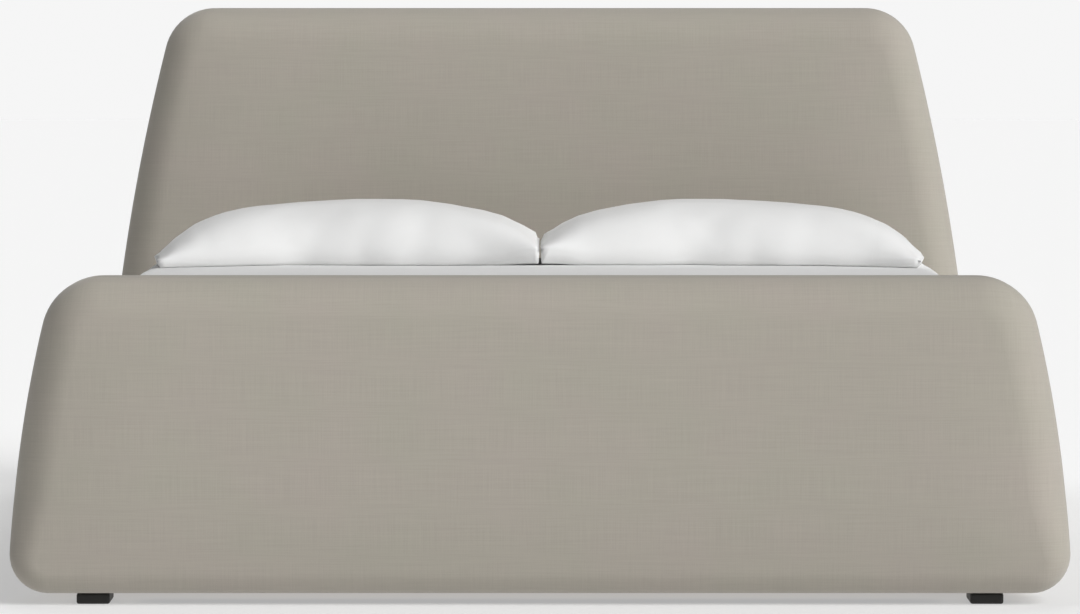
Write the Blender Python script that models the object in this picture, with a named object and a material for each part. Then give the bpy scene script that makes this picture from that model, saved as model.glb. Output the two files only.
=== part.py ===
"""Upholstered sleigh bed, queen size, with its mattress and two pillows.

Metres, +Z up. The origin is on the floor at the middle of the bed's plan; the headboard is
towards +Y and the footboard towards -Y. Each object is one piece of the real bed.
"""

import math

import bmesh
import bpy
from mathutils import Vector

# Mattress and what it lies in
MATTRESS_WIDTH = 1.524
MATTRESS_LENGTH = 2.032
MATTRESS_THICKNESS = 0.254
MATTRESS_CORNER = 0.055
MATTRESS_EDGE = 0.028
MATTRESS_SIDE_ROOM = 0.014
MATTRESS_END_ROOM = 0.012
SLAT_TOP = 0.215

# Headboard and footboard
BOARD_SIDE_OVERHANG = 0.036
UNDERSIDE = 0.018
BOARD_THICKNESS = 0.170
FACE_ROUNDING = 0.065
UNDERSIDE_ROUNDING = 0.035
ROUNDING_CHANGE_HEIGHT = 0.150
BOTTOM_CORNER = 0.064
TOP_CORNER = 0.100
HEAD_HEIGHT = 0.964
HEAD_RAKE = math.radians(6.0)
HEAD_SIDE_RADIUS = 4.17
HEAD_SIDE_CENTRE_HEIGHT = -0.117
FOOT_HEIGHT = 0.533
FOOT_RAKE = math.radians(3.0)
FOOT_SIDE_RADIUS = 2.05
FOOT_SIDE_CENTRE_HEIGHT = -0.031

# Upholstery, the gaps between touching pieces, and how far a cut goes past what it cuts
FABRIC = 0.0015
GAP = 0.0003
RAIL_END_GAP = 0.0006
CUT_PAST = 0.020

# Wooden frame inside each board
FACE_FOAM = 0.0377
PANEL_THICKNESS = 0.009
FRAME_EDGE_FOAM = 0.045
FRAME_CORNER_ROOM = 0.006
POST_WIDTH = 0.120
FRAME_RAIL_HEIGHT = 0.070
BOTTOM_RAIL_HEIGHT = 0.185
OPENING_TO_FOOT = 0.058
DUST_CLOTH = 0.0008
DUST_CLOTH_LAP = 0.012

# Corner feet
FOOT_BLOCK_WIDTH = 0.054
FOOT_BLOCK_EDGE_ROOM = 0.001
FOOT_BLOCK_INSET = 0.136

# Side rails
RAIL_HEIGHT = 0.320
RAIL_UNDERSIDE = 0.026
RAIL_THICKNESS = 0.050
RAIL_TOP_ROUNDING = 0.024
RAIL_OUTER_CORNER = 0.014
RAIL_INNER_CORNER = 0.005
RAIL_BOARD = 0.025
RAIL_INNER_FOAM = 0.005
RAIL_TOP_FOAM = 0.030
RAIL_STAPLE_LAP = 0.004
LEDGER_WIDTH = 0.030
LEDGER_HEIGHT = 0.040
LEDGER_END_ROOM = 0.010

# Steel corner brackets and their bolts
STEEL = 0.004
BRACKET_LENGTH = 0.075
BRACKET_REACH = 0.045
BRACKET_BELOW_LEDGER = 0.012
BRACKET_HEIGHT = 0.100
BOLT_RADIUS = 0.005
BOLT_HEAD_RADIUS = 0.010
BOLT_HEAD_HEIGHT = 0.006
BOLT_HEAD_CHAMFER = 0.002
BOLT_CLEARANCE = 0.0005
BOLT_IN_POST = 0.045

# Slats, centre beam and its legs
SLAT_COUNT = 11
SLAT_WIDTH = 0.114
SLAT_THICKNESS = 0.018
SLAT_SIDE_ROOM = 0.004
BEAM_WIDTH = 0.040
BEAM_HEIGHT = 0.060
HANGER_HEIGHT = 0.064
HANGER_DEPTH = 0.045
HANGER_EAR = 0.026
LEG_SIZE = 0.040
LEG_Y = 0.420
GLIDE_RADIUS = 0.016
GLIDE_PAD = 0.006
GLIDE_CHAMFER = 0.0015
GLIDE_STEM_RADIUS = 0.004
GLIDE_STEM_LENGTH = 0.034
GLIDE_STEM_CLEARANCE = 0.0004
GLIDE_HOLE_SPARE = 0.002
GLIDE_TRAVEL = 0.012

# Pillows
PILLOW_WIDTH = 0.736
PILLOW_DEPTH = 0.490
PILLOW_LOFT = 0.128
PILLOW_SEAM_HEIGHT = 0.010
PILLOW_BASE_SHARE = 0.80
PILLOW_SQUARENESS = 3.2
PILLOW_CROWN_SQUARENESS = 2.3
PILLOW_CROWN_POWER = 1.15
PILLOW_BETWEEN = 0.004
PILLOW_TO_MATTRESS_END = 0.050

# How finely round shapes are divided
BOTTOM_CORNER_STEPS = 4
SIDE_STEPS = 6
TOP_CORNER_STEPS = 6
ROUNDING_STEPS = 4
RAIL_CORNER_STEPS = 4
MATTRESS_CORNER_STEPS = 5
MATTRESS_EDGE_STEPS = 4
PILLOW_SIDES = 32
PILLOW_BASE_STEPS = 3
PILLOW_CROWN_STEPS = 6
BOLT_SIDES = 10
SMOOTH_BELOW = math.radians(40.0)

RAIL_INNER_X = MATTRESS_WIDTH / 2 + MATTRESS_SIDE_ROOM
BOARD_HALF_WIDTH = RAIL_INNER_X + RAIL_THICKNESS + BOARD_SIDE_OVERHANG
WELL_HALF_LENGTH = MATTRESS_LENGTH / 2 + MATTRESS_END_ROOM
FRAME_DEPTH = BOARD_THICKNESS - 2 * (FACE_FOAM + PANEL_THICKNESS + GAP)
OPENING_HALF_DEPTH = FRAME_DEPTH / 2 - DUST_CLOTH_LAP
FOOT_BLOCK_DEPTH = BOARD_THICKNESS - 2 * (UNDERSIDE_ROUNDING + FOOT_BLOCK_EDGE_ROOM)
FOOT_BLOCK_X = BOARD_HALF_WIDTH - FOOT_BLOCK_INSET
OPENING_HALF_LENGTH = FOOT_BLOCK_X - FOOT_BLOCK_WIDTH / 2 - OPENING_TO_FOOT
SLAT_BOTTOM = SLAT_TOP - SLAT_THICKNESS
SUPPORT_TOP = SLAT_BOTTOM - GAP
BEAM_BOTTOM = SUPPORT_TOP - BEAM_HEIGHT
BRACKET_BOTTOM = SUPPORT_TOP - LEDGER_HEIGHT - BRACKET_BELOW_LEDGER - BRACKET_HEIGHT


# ---------------------------------------------------------------- helpers


def clear_scene():
    for old in list(bpy.data.objects):
        bpy.data.objects.remove(old, do_unlink=True)


def material(name, colour, roughness, metallic=0.0):
    made = bpy.data.materials.new(name)
    made.use_nodes = True
    shader = made.node_tree.nodes["Principled BSDF"]
    shader.inputs["Base Color"].default_value = (*colour, 1.0)
    shader.inputs["Roughness"].default_value = roughness
    shader.inputs["Metallic"].default_value = metallic
    return made


def add_object(name, mesh, finish, smooth=False):
    obj = bpy.data.objects.new(name, mesh)
    bpy.context.scene.collection.objects.link(obj)
    if finish is not None:
        mesh.materials.append(finish)
    if smooth:
        mesh.shade_smooth()
        mesh.set_sharp_from_angle(angle=SMOOTH_BELOW)
    return obj


def mesh_from_bmesh(name, bm):
    bmesh.ops.recalc_face_normals(bm, faces=bm.faces)
    mesh = bpy.data.meshes.new(name)
    bm.to_mesh(mesh)
    bm.free()
    return mesh


def loft(bm, rings):
    """Joins closed rings of equal length into one skin and caps its two ends."""
    made = [[bm.verts.new(point) for point in ring] for ring in rings]
    for near, far in zip(made, made[1:]):
        count = len(near)
        for i in range(count):
            j = (i + 1) % count
            bm.faces.new((near[i], near[j], far[j], far[i]))
    bm.faces.new(made[0])
    bm.faces.new(list(reversed(made[-1])))


def loft_mesh(name, rings):
    bm = bmesh.new()
    loft(bm, rings)
    return mesh_from_bmesh(name, bm)


def box_rings(low, high):
    x0, y0, z0 = low
    x1, y1, z1 = high
    corners = [(x0, y0), (x1, y0), (x1, y1), (x0, y1)]
    return [[(x, y, z) for x, y in corners] for z in (z0, z1)]


def circle(radius):
    """Points of a circle round the origin of a plane."""
    angles = [2 * math.pi * i / BOLT_SIDES for i in range(BOLT_SIDES)]
    return [(radius * math.cos(angle), radius * math.sin(angle)) for angle in angles]


def upright_rings(x, y, stations):
    """A round piece standing at (x, y): stations are (height, radius)."""
    return [[(x + dx, y + dy, z) for dx, dy in circle(radius)] for z, radius in stations]


def group_mesh(name, many_rings):
    bm = bmesh.new()
    for rings in many_rings:
        loft(bm, rings)
    return mesh_from_bmesh(name, bm)


def cutter(name, mesh):
    obj = add_object(name, mesh, None)
    obj.hide_render = True
    obj.display_type = "WIRE"
    return obj


def cut(obj, tool):
    step = obj.modifiers.new("cut_" + tool.name, "BOOLEAN")
    step.operation = "DIFFERENCE"
    step.solver = "EXACT"
    step.object = tool
    return obj


# ---------------------------------------------------------------- the two boards


class Board:
    """Outline, rake and frame of the headboard (end = 1) or the footboard (end = -1)."""

    def __init__(self, name, end, height, rake, side_radius, side_centre_height):
        self.name = name
        self.end = end
        self.height = height
        self.slope = end * math.tan(rake)
        self.side_radius = side_radius
        self.side_centre_z = side_centre_height
        bottom_centre_x = BOARD_HALF_WIDTH - BOTTOM_CORNER
        bottom_centre_z = UNDERSIDE + BOTTOM_CORNER
        top_centre_z = height - TOP_CORNER
        reach = math.sqrt(
            (side_radius - BOTTOM_CORNER) ** 2 - (bottom_centre_z - side_centre_height) ** 2
        )
        self.side_centre_x = bottom_centre_x - reach
        top_reach = math.sqrt(
            (side_radius - TOP_CORNER) ** 2 - (top_centre_z - side_centre_height) ** 2
        )
        self.bottom_centre = (bottom_centre_x, bottom_centre_z)
        self.top_centre = (self.side_centre_x + top_reach, top_centre_z)
        self.frame_bottom = UNDERSIDE + FABRIC + GAP
        self.frame_top = height - FRAME_EDGE_FOAM
        self.frame_half_bottom = bottom_centre_x - FRAME_CORNER_ROOM
        self.frame_half_top = self.side_x(top_centre_z) - FRAME_EDGE_FOAM
        self.middle_y = end * (WELL_HALF_LENGTH + BOARD_THICKNESS / 2)

    def side_x(self, z):
        """Half width of the outline between its corners."""
        rise = z - self.side_centre_z
        return self.side_centre_x + math.sqrt(self.side_radius**2 - rise**2)

    def frame_x(self, z):
        """Half width of the straight-sided wooden frame."""
        share = (z - self.frame_bottom) / (self.frame_top - self.frame_bottom)
        return self.frame_half_bottom + share * (self.frame_half_top - self.frame_half_bottom)

    def raked(self, x, y, z):
        """A point given from the board's upright middle plane, moved to its raked place."""
        return Vector((x, self.middle_y + y + self.slope * (z - SLAT_TOP), z))

    def outline(self):
        """Right half of the outline from bottom to top, as (x, z, outward x, outward z)."""
        low_x, low_z = self.bottom_centre
        top_x, top_z = self.top_centre
        low_tilt = math.atan2(low_z - self.side_centre_z, low_x - self.side_centre_x)
        top_tilt = math.atan2(top_z - self.side_centre_z, top_x - self.side_centre_x)
        points = []

        def arc(centre_x, centre_z, radius, start, stop, steps, first):
            for i in range(first, steps + 1):
                angle = start + (stop - start) * i / steps
                out_x, out_z = math.cos(angle), math.sin(angle)
                points.append((centre_x + radius * out_x, centre_z + radius * out_z, out_x, out_z))

        arc(low_x, low_z, BOTTOM_CORNER, -math.pi / 2, low_tilt, BOTTOM_CORNER_STEPS, 0)
        arc(self.side_centre_x, self.side_centre_z, self.side_radius, low_tilt, top_tilt,
            SIDE_STEPS, 1)
        arc(top_x, top_z, TOP_CORNER, top_tilt, math.pi / 2, TOP_CORNER_STEPS, 1)
        return points

    def slab_rings(self, inset):
        """Rings of the rounded slab from its -Y face to its +Y face, all shrunk by inset."""
        right = self.outline()
        left = [(-x, z, -out_x, out_z) for x, z, out_x, out_z in reversed(right)]
        loop = right + left
        half = BOARD_THICKNESS / 2 - inset
        rings = []
        for side in (-1, 1):
            stations = range(ROUNDING_STEPS + 1)
            for step in stations if side < 0 else reversed(stations):
                angle = math.pi / 2 * step / ROUNDING_STEPS
                ring = []
                for x, z, out_x, out_z in loop:
                    radius = rounding_at(z) - inset
                    back = inset + radius * (1 - math.sin(angle))
                    y = side * (half - radius * (1 - math.cos(angle)))
                    ring.append(self.raked(x - back * out_x, y, z - back * out_z))
                rings.append(ring)
        return rings

    def plate_rings(self, corners, y_low, y_high):
        """Rings of a flat piece with the given (x, z) corners between two depths."""
        return [[self.raked(x, y, z) for x, z in corners] for y in (y_low, y_high)]


def rounding_at(z):
    """Radius of the board's edge rounding, smaller towards the underside."""
    share = min(max((z - UNDERSIDE) / ROUNDING_CHANGE_HEIGHT, 0.0), 1.0)
    return UNDERSIDE_ROUNDING + (FACE_ROUNDING - UNDERSIDE_ROUNDING) * share


def centre_over_origin(boards):
    """Shifts the boards along Y until their plan is centred, and returns the shift."""
    ends = [point.y for board in boards for ring in board.slab_rings(0.0) for point in ring]
    shift = -(min(ends) + max(ends)) / 2
    for board in boards:
        board.middle_y += shift
    return shift


def trapezoid(board, z_low, z_high, inset):
    low, high = board.frame_x(z_low) - inset, board.frame_x(z_high) - inset
    return [(-low, z_low), (low, z_low), (high, z_high), (-high, z_high)]


def bolt_place(side):
    """(x, z) of the corner bolt on one side, in the middle of its bracket."""
    x = RAIL_INNER_X - GAP - STEEL - (BRACKET_REACH - STEEL) / 2
    return side * x, BRACKET_BOTTOM + BRACKET_HEIGHT / 2


def along_y(board, x, z, stations):
    """A round piece along Y at (x, z); stations run from the board's inner face outwards."""
    inner_face = -board.end * BOARD_THICKNESS / 2
    return [
        [board.raked(x + dx, inner_face + board.end * depth, z + dz) for dx, dz in circle(radius)]
        for depth, radius in stations
    ]


def build_board(board, rail_heights, finishes):
    name = board.name
    cover = add_object(
        name + "_cover", loft_mesh(name + "_cover", board.slab_rings(0.0)), finishes["fabric"], True
    )
    inside = cutter(
        name + "_cover_inside", loft_mesh(name + "_cover_inside", board.slab_rings(FABRIC))
    )
    mouth_low, mouth_high = UNDERSIDE - CUT_PAST, UNDERSIDE + FABRIC + CUT_PAST
    mouth_corners = [
        (-OPENING_HALF_LENGTH, mouth_low),
        (OPENING_HALF_LENGTH, mouth_low),
        (OPENING_HALF_LENGTH, mouth_high),
        (-OPENING_HALF_LENGTH, mouth_high),
    ]
    mouth = cutter(
        name + "_cover_mouth",
        loft_mesh(
            name + "_cover_mouth",
            board.plate_rings(mouth_corners, -OPENING_HALF_DEPTH, OPENING_HALF_DEPTH),
        ),
    )
    cut(cut(cover, inside), mouth)

    foam = add_object(
        name + "_foam",
        loft_mesh(name + "_foam", board.slab_rings(FABRIC + GAP)),
        finishes["foam"],
        True,
    )
    core_half = FRAME_DEPTH / 2 + PANEL_THICKNESS + 2 * GAP
    core_corners = trapezoid(board, UNDERSIDE - CUT_PAST, board.frame_top + GAP, -GAP)
    core = cutter(
        name + "_core",
        loft_mesh(name + "_core", board.plate_rings(core_corners, -core_half, core_half)),
    )
    cut(foam, core)

    wide = BOLT_RADIUS + BOLT_CLEARANCE
    past_tip = FACE_FOAM + PANEL_THICKNESS + BOLT_IN_POST + BOLT_CLEARANCE
    holes = [
        along_y(board, *bolt_place(side), [(-CUT_PAST, wide), (past_tip, wide)])
        for side in (-1, 1)
    ]
    bolt_holes = cutter(name + "_bolt_holes", group_mesh(name + "_bolt_holes", holes))
    cut(cover, bolt_holes)
    cut(foam, bolt_holes)

    half = FRAME_DEPTH / 2
    for word, side in (("inner", -board.end), ("outer", board.end)):
        near, far = side * (half + GAP), side * (half + GAP + PANEL_THICKNESS)
        corners = trapezoid(board, board.frame_bottom, board.frame_top, 0.0)
        panel = add_object(
            f"{name}_{word}_panel",
            loft_mesh(f"{name}_{word}_panel",
                      board.plate_rings(corners, min(near, far), max(near, far))),
            finishes["plywood"],
        )
        if word == "inner":
            cut(panel, bolt_holes)

    bottom, top = board.frame_bottom, board.frame_top
    for word, side in (("left", -1), ("right", 1)):
        corners = [
            (side * board.frame_x(bottom), bottom),
            (side * (board.frame_x(bottom) - POST_WIDTH), bottom),
            (side * (board.frame_x(top) - POST_WIDTH), top),
            (side * board.frame_x(top), top),
        ]
        post = add_object(
            f"{name}_{word}_post",
            loft_mesh(f"{name}_{word}_post", board.plate_rings(corners, -half, half)),
            finishes["timber"],
        )
        cut(post, bolt_holes)

    for word, (z_low, z_high) in rail_heights.items():
        corners = trapezoid(board, z_low, z_high, POST_WIDTH + GAP)
        add_object(
            f"{name}_{word}_rail",
            loft_mesh(f"{name}_{word}_rail", board.plate_rings(corners, -half, half)),
            finishes["timber"],
        )

    lap = DUST_CLOTH_LAP
    cloth_top = UNDERSIDE - GAP
    cloth_corners = [
        (-OPENING_HALF_LENGTH - lap, cloth_top - DUST_CLOTH),
        (OPENING_HALF_LENGTH + lap, cloth_top - DUST_CLOTH),
        (OPENING_HALF_LENGTH + lap, cloth_top),
        (-OPENING_HALF_LENGTH - lap, cloth_top),
    ]
    add_object(
        name + "_dust_cloth",
        loft_mesh(
            name + "_dust_cloth",
            board.plate_rings(cloth_corners, -OPENING_HALF_DEPTH - lap, OPENING_HALF_DEPTH + lap),
        ),
        finishes["dust_cloth"],
    )

    for word, side in (("left", -1), ("right", 1)):
        middle = board.raked(side * FOOT_BLOCK_X, 0.0, UNDERSIDE)
        add_object(
            f"{name}_{word}_foot",
            loft_mesh(f"{name}_{word}_foot", box_rings(
                (middle.x - FOOT_BLOCK_WIDTH / 2, middle.y - FOOT_BLOCK_DEPTH / 2, 0.0),
                (middle.x + FOOT_BLOCK_WIDTH / 2, middle.y + FOOT_BLOCK_DEPTH / 2,
                 UNDERSIDE - GAP),
            )),
            finishes["black"],
        )


def build_corner_bolt(board, word, side, finishes):
    seat = -STEEL - 2 * GAP
    stations = [
        (seat - BOLT_HEAD_HEIGHT, BOLT_HEAD_RADIUS - BOLT_HEAD_CHAMFER),
        (seat - BOLT_HEAD_HEIGHT + BOLT_HEAD_CHAMFER, BOLT_HEAD_RADIUS),
        (seat, BOLT_HEAD_RADIUS),
        (seat, BOLT_RADIUS),
        (FACE_FOAM + PANEL_THICKNESS + BOLT_IN_POST, BOLT_RADIUS),
    ]
    name = f"{board.name}_{word}_bolt"
    mesh = loft_mesh(name, along_y(board, *bolt_place(side), stations))
    add_object(name, mesh, finishes["zinc"], True)


# ---------------------------------------------------------------- side rails


def rounded_profile(corners, steps):
    """Points of a polygon in XZ whose corners are (x, z, radius), counter-clockwise."""
    points = []
    count = len(corners)
    for i in range(count):
        x, z, radius = corners[i]
        before = Vector(corners[i - 1][:2]) - Vector((x, z))
        after = Vector(corners[(i + 1) % count][:2]) - Vector((x, z))
        before.normalize()
        after.normalize()
        if radius <= 0:
            points.append((x, z))
            continue
        half_turn = before.angle(after) / 2
        reach = radius / math.tan(half_turn)
        centre = Vector((x, z)) + (before + after).normalized() * (radius / math.sin(half_turn))
        start = Vector((x, z)) + before * reach - centre
        stop = Vector((x, z)) + after * reach - centre
        start_angle = math.atan2(start.y, start.x)
        sweep = math.atan2(stop.y, stop.x) - start_angle
        sweep = (sweep + math.pi) % (2 * math.pi) - math.pi
        for step in range(steps + 1):
            angle = start_angle + sweep * step / steps
            point = centre + radius * Vector((math.cos(angle), math.sin(angle)))
            points.append(tuple(point))
    return points


def board_span():
    """X range of the wooden board inside the right-hand side rail."""
    start = RAIL_INNER_X + FABRIC + RAIL_INNER_FOAM
    return start, start + RAIL_BOARD


def rail_shell(inset):
    """Outer profile of the right-hand rail shrunk by inset, open along the bottom."""
    x_low, x_high = RAIL_INNER_X + inset, RAIL_INNER_X + RAIL_THICKNESS - inset
    z_low, z_high = RAIL_UNDERSIDE + inset, RAIL_HEIGHT - inset
    top_round = RAIL_TOP_ROUNDING - inset
    corners = [
        (x_low, z_low, RAIL_INNER_CORNER - inset),
        (x_high, z_low, RAIL_OUTER_CORNER - inset),
        (x_high, z_high, top_round),
        (x_low, z_high, top_round),
    ]
    points = rounded_profile(corners, RAIL_CORNER_STEPS)
    arc_points = RAIL_CORNER_STEPS + 1
    return points[arc_points:] + points[:arc_points]


def rail_cover_profile():
    """A loop of cloth round the rail, left open under the wooden board."""
    board_low, board_high = board_span()
    open_low, open_high = board_low + RAIL_STAPLE_LAP, board_high - RAIL_STAPLE_LAP
    outside = rail_shell(0.0)
    inside = rail_shell(FABRIC)
    low, high = RAIL_UNDERSIDE, RAIL_UNDERSIDE + FABRIC
    loop = [(open_high, low)] + outside + [(open_low, low)]
    back = [(open_high, high)] + inside + [(open_low, high)]
    return loop + list(reversed(back))


def rail_foam_profile():
    """Foam over the rail's board, which stands in it from below."""
    board_low, board_high = board_span()
    inset = FABRIC + GAP
    bottom = RAIL_UNDERSIDE + inset
    top = RAIL_HEIGHT - RAIL_TOP_FOAM
    slot_low, slot_high = board_low - GAP, board_high + GAP
    outside = [(slot_high, bottom)] + rail_shell(inset) + [(slot_low, bottom)]
    return outside + [(slot_low, top + GAP), (slot_high, top + GAP)]


def extrude_along_y(name, profile, side, y_low, y_high):
    """Profile points (x, z) are for the right-hand side; side -1 mirrors them."""
    rings = [[(side * x, y, z) for x, z in profile] for y in (y_low, y_high)]
    return loft_mesh(name, rings)


def bracket_rings(board, side):
    """L-shaped corner bracket: one leg on the rail, the other on the board's inner face."""
    x_out = RAIL_INNER_X - GAP
    face = -board.end * (BOARD_THICKNESS / 2 + GAP)
    inward = -board.end
    corners = [
        (x_out, face),
        (x_out, face + inward * BRACKET_LENGTH),
        (x_out - STEEL, face + inward * BRACKET_LENGTH),
        (x_out - STEEL, face + inward * STEEL),
        (x_out - BRACKET_REACH, face + inward * STEEL),
        (x_out - BRACKET_REACH, face),
    ]
    return [
        [board.raked(side * x, y, z) for x, y in corners]
        for z in (BRACKET_BOTTOM, BRACKET_BOTTOM + BRACKET_HEIGHT)
    ]


def build_side_rail(word, side, well_y, boards, finishes, board_cutters):
    span_low = min(board.raked(0, 0, SLAT_TOP).y for board in boards)
    span_high = max(board.raked(0, 0, SLAT_TOP).y for board in boards)
    board_low, board_high = board_span()
    bottom = RAIL_UNDERSIDE + FABRIC + GAP
    board_profile = [
        (board_low, bottom),
        (board_high, bottom),
        (board_high, RAIL_HEIGHT - RAIL_TOP_FOAM),
        (board_low, RAIL_HEIGHT - RAIL_TOP_FOAM),
    ]
    pieces = (
        ("cover", rail_cover_profile(), finishes["fabric"], True),
        ("foam", rail_foam_profile(), finishes["foam"], True),
        ("board", board_profile, finishes["plywood"], False),
    )
    for piece, profile, finish, smooth in pieces:
        name = f"{word}_rail_{piece}"
        mesh = extrude_along_y(name, profile, side, span_low, span_high)
        obj = add_object(name, mesh, finish, smooth)
        for tool in board_cutters:
            cut(obj, tool)
    high_x = RAIL_INNER_X - GAP
    reach = WELL_HALF_LENGTH - LEDGER_END_ROOM
    ledger_profile = [
        (high_x - LEDGER_WIDTH, SUPPORT_TOP - LEDGER_HEIGHT),
        (high_x, SUPPORT_TOP - LEDGER_HEIGHT),
        (high_x, SUPPORT_TOP),
        (high_x - LEDGER_WIDTH, SUPPORT_TOP),
    ]
    name = f"{word}_ledger"
    mesh = extrude_along_y(name, ledger_profile, side, well_y - reach, well_y + reach)
    add_object(name, mesh, finishes["timber"])


# ---------------------------------------------------------------- slats and centre support


def build_slats(well_y, finishes):
    half = RAIL_INNER_X - SLAT_SIDE_ROOM
    spacing = (MATTRESS_LENGTH - SLAT_WIDTH) / (SLAT_COUNT - 1)
    for i in range(SLAT_COUNT):
        y = well_y - (MATTRESS_LENGTH - SLAT_WIDTH) / 2 + i * spacing
        name = f"slat_{i + 1:02d}"
        mesh = loft_mesh(name, box_rings(
            (-half, y - SLAT_WIDTH / 2, SLAT_BOTTOM), (half, y + SLAT_WIDTH / 2, SLAT_TOP)
        ))
        add_object(name, mesh, finishes["slat"])


def build_hanger(board, finishes):
    """Steel cradle for one end of the centre beam, with an ear on each side."""
    clear = BEAM_WIDTH / 2 + GAP
    out = clear + STEEL
    ear = out + HANGER_EAR
    low = BEAM_BOTTOM - GAP
    high = low - STEEL + HANGER_HEIGHT
    near = -board.end * (BOARD_THICKNESS / 2 + GAP)
    plate = near - board.end * STEEL
    deep = near - board.end * HANGER_DEPTH
    cradle = [
        (-out, high), (-out, low - STEEL), (out, low - STEEL), (out, high),
        (clear, high), (clear, low), (-clear, low), (-clear, high),
    ]
    back = [(-ear, high), (-ear, low - STEEL), (ear, low - STEEL), (ear, high)]
    name = board.name + "_beam_hanger"
    hanger = add_object(
        name, loft_mesh(name, board.plate_rings(cradle, (near + plate) / 2, deep)),
        finishes["steel"],
    )
    plate_mesh = loft_mesh(name + "_plate", board.plate_rings(back, near, plate))
    weld = hanger.modifiers.new("weld", "BOOLEAN")
    weld.operation = "UNION"
    weld.solver = "EXACT"
    weld.object = cutter(name + "_plate", plate_mesh)


def build_beam(boards, finishes):
    rings = []
    for board in sorted(boards, key=lambda b: b.end):
        y = -board.end * (BOARD_THICKNESS / 2 + STEEL + 3 * GAP)
        ring = []
        for x, z in (
            (-BEAM_WIDTH / 2, BEAM_BOTTOM), (BEAM_WIDTH / 2, BEAM_BOTTOM),
            (BEAM_WIDTH / 2, SUPPORT_TOP), (-BEAM_WIDTH / 2, SUPPORT_TOP),
        ):
            ring.append(board.raked(x, y, z))
        rings.append(ring)
    add_object("centre_beam", loft_mesh("centre_beam", rings), finishes["timber"])


def glide_stations():
    """Heights and radii of a glide: a pad with chamfered edges and a stem on it."""
    return [
        (0.0, GLIDE_RADIUS - GLIDE_CHAMFER),
        (GLIDE_CHAMFER, GLIDE_RADIUS),
        (GLIDE_PAD - GLIDE_CHAMFER, GLIDE_RADIUS),
        (GLIDE_PAD, GLIDE_RADIUS - GLIDE_CHAMFER),
        (GLIDE_PAD, GLIDE_STEM_RADIUS),
        (GLIDE_PAD + GLIDE_STEM_LENGTH, GLIDE_STEM_RADIUS),
    ]


def build_centre_legs(well_y, finishes):
    leg_bottom = GLIDE_PAD + GLIDE_TRAVEL + 2 * GAP
    leg_top = BEAM_BOTTOM - GAP
    for i, side in enumerate((-1, 1), start=1):
        y = well_y + side * LEG_Y
        half = LEG_SIZE / 2
        name = f"centre_leg_{i}"
        leg = add_object(name, loft_mesh(name, box_rings(
            (-half, y - half, leg_bottom), (half, y + half, leg_top)
        )), finishes["timber"])
        hole_top = GLIDE_PAD + GLIDE_STEM_LENGTH + GLIDE_TRAVEL + GLIDE_HOLE_SPARE
        hole_radius = GLIDE_STEM_RADIUS + GLIDE_STEM_CLEARANCE
        hole_stations = [(leg_bottom - CUT_PAST, hole_radius), (hole_top, hole_radius)]
        hole = cutter(f"glide_hole_{i}", loft_mesh(
            f"glide_hole_{i}", upright_rings(0.0, y, hole_stations)
        ))
        cut(leg, hole)
        mesh = loft_mesh(f"leg_glide_{i}", upright_rings(0.0, 0.0, glide_stations()))
        glide = add_object(f"leg_glide_{i}", mesh, finishes["nylon"], True)
        glide.location = (0.0, y, 0.0)


# ---------------------------------------------------------------- mattress and pillows


def superellipse(half_x, half_y, power):
    """Outline of a pillow at one height; a higher power has squarer corners."""
    points = []
    for i in range(PILLOW_SIDES):
        angle = 2 * math.pi * i / PILLOW_SIDES
        c, s = math.cos(angle), math.sin(angle)
        points.append((
            half_x * math.copysign(abs(c) ** (2 / power), c),
            half_y * math.copysign(abs(s) ** (2 / power), s),
        ))
    return points


def rounded_rectangle(half_x, half_y, radius):
    corners = [(-half_x, -half_y, radius), (half_x, -half_y, radius),
               (half_x, half_y, radius), (-half_x, half_y, radius)]
    return rounded_profile(corners, MATTRESS_CORNER_STEPS)


def build_mattress(well_y, finishes):
    turns = [math.pi / 2 * step / MATTRESS_EDGE_STEPS for step in range(MATTRESS_EDGE_STEPS + 1)]
    upper = [
        (MATTRESS_EDGE * (1 - math.cos(turn)),
         MATTRESS_THICKNESS - MATTRESS_EDGE * (1 - math.sin(turn)))
        for turn in turns
    ]
    lower = [(back, MATTRESS_THICKNESS - z) for back, z in reversed(upper)]
    rings = []
    for back, z in lower + upper:
        outline = rounded_rectangle(
            MATTRESS_WIDTH / 2 - back, MATTRESS_LENGTH / 2 - back, MATTRESS_CORNER - back
        )
        rings.append([(x, y, z) for x, y in outline])
    mattress = add_object("mattress", loft_mesh("mattress", rings), finishes["linen"], True)
    mattress.location = (0.0, well_y, SLAT_TOP + GAP)


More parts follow.
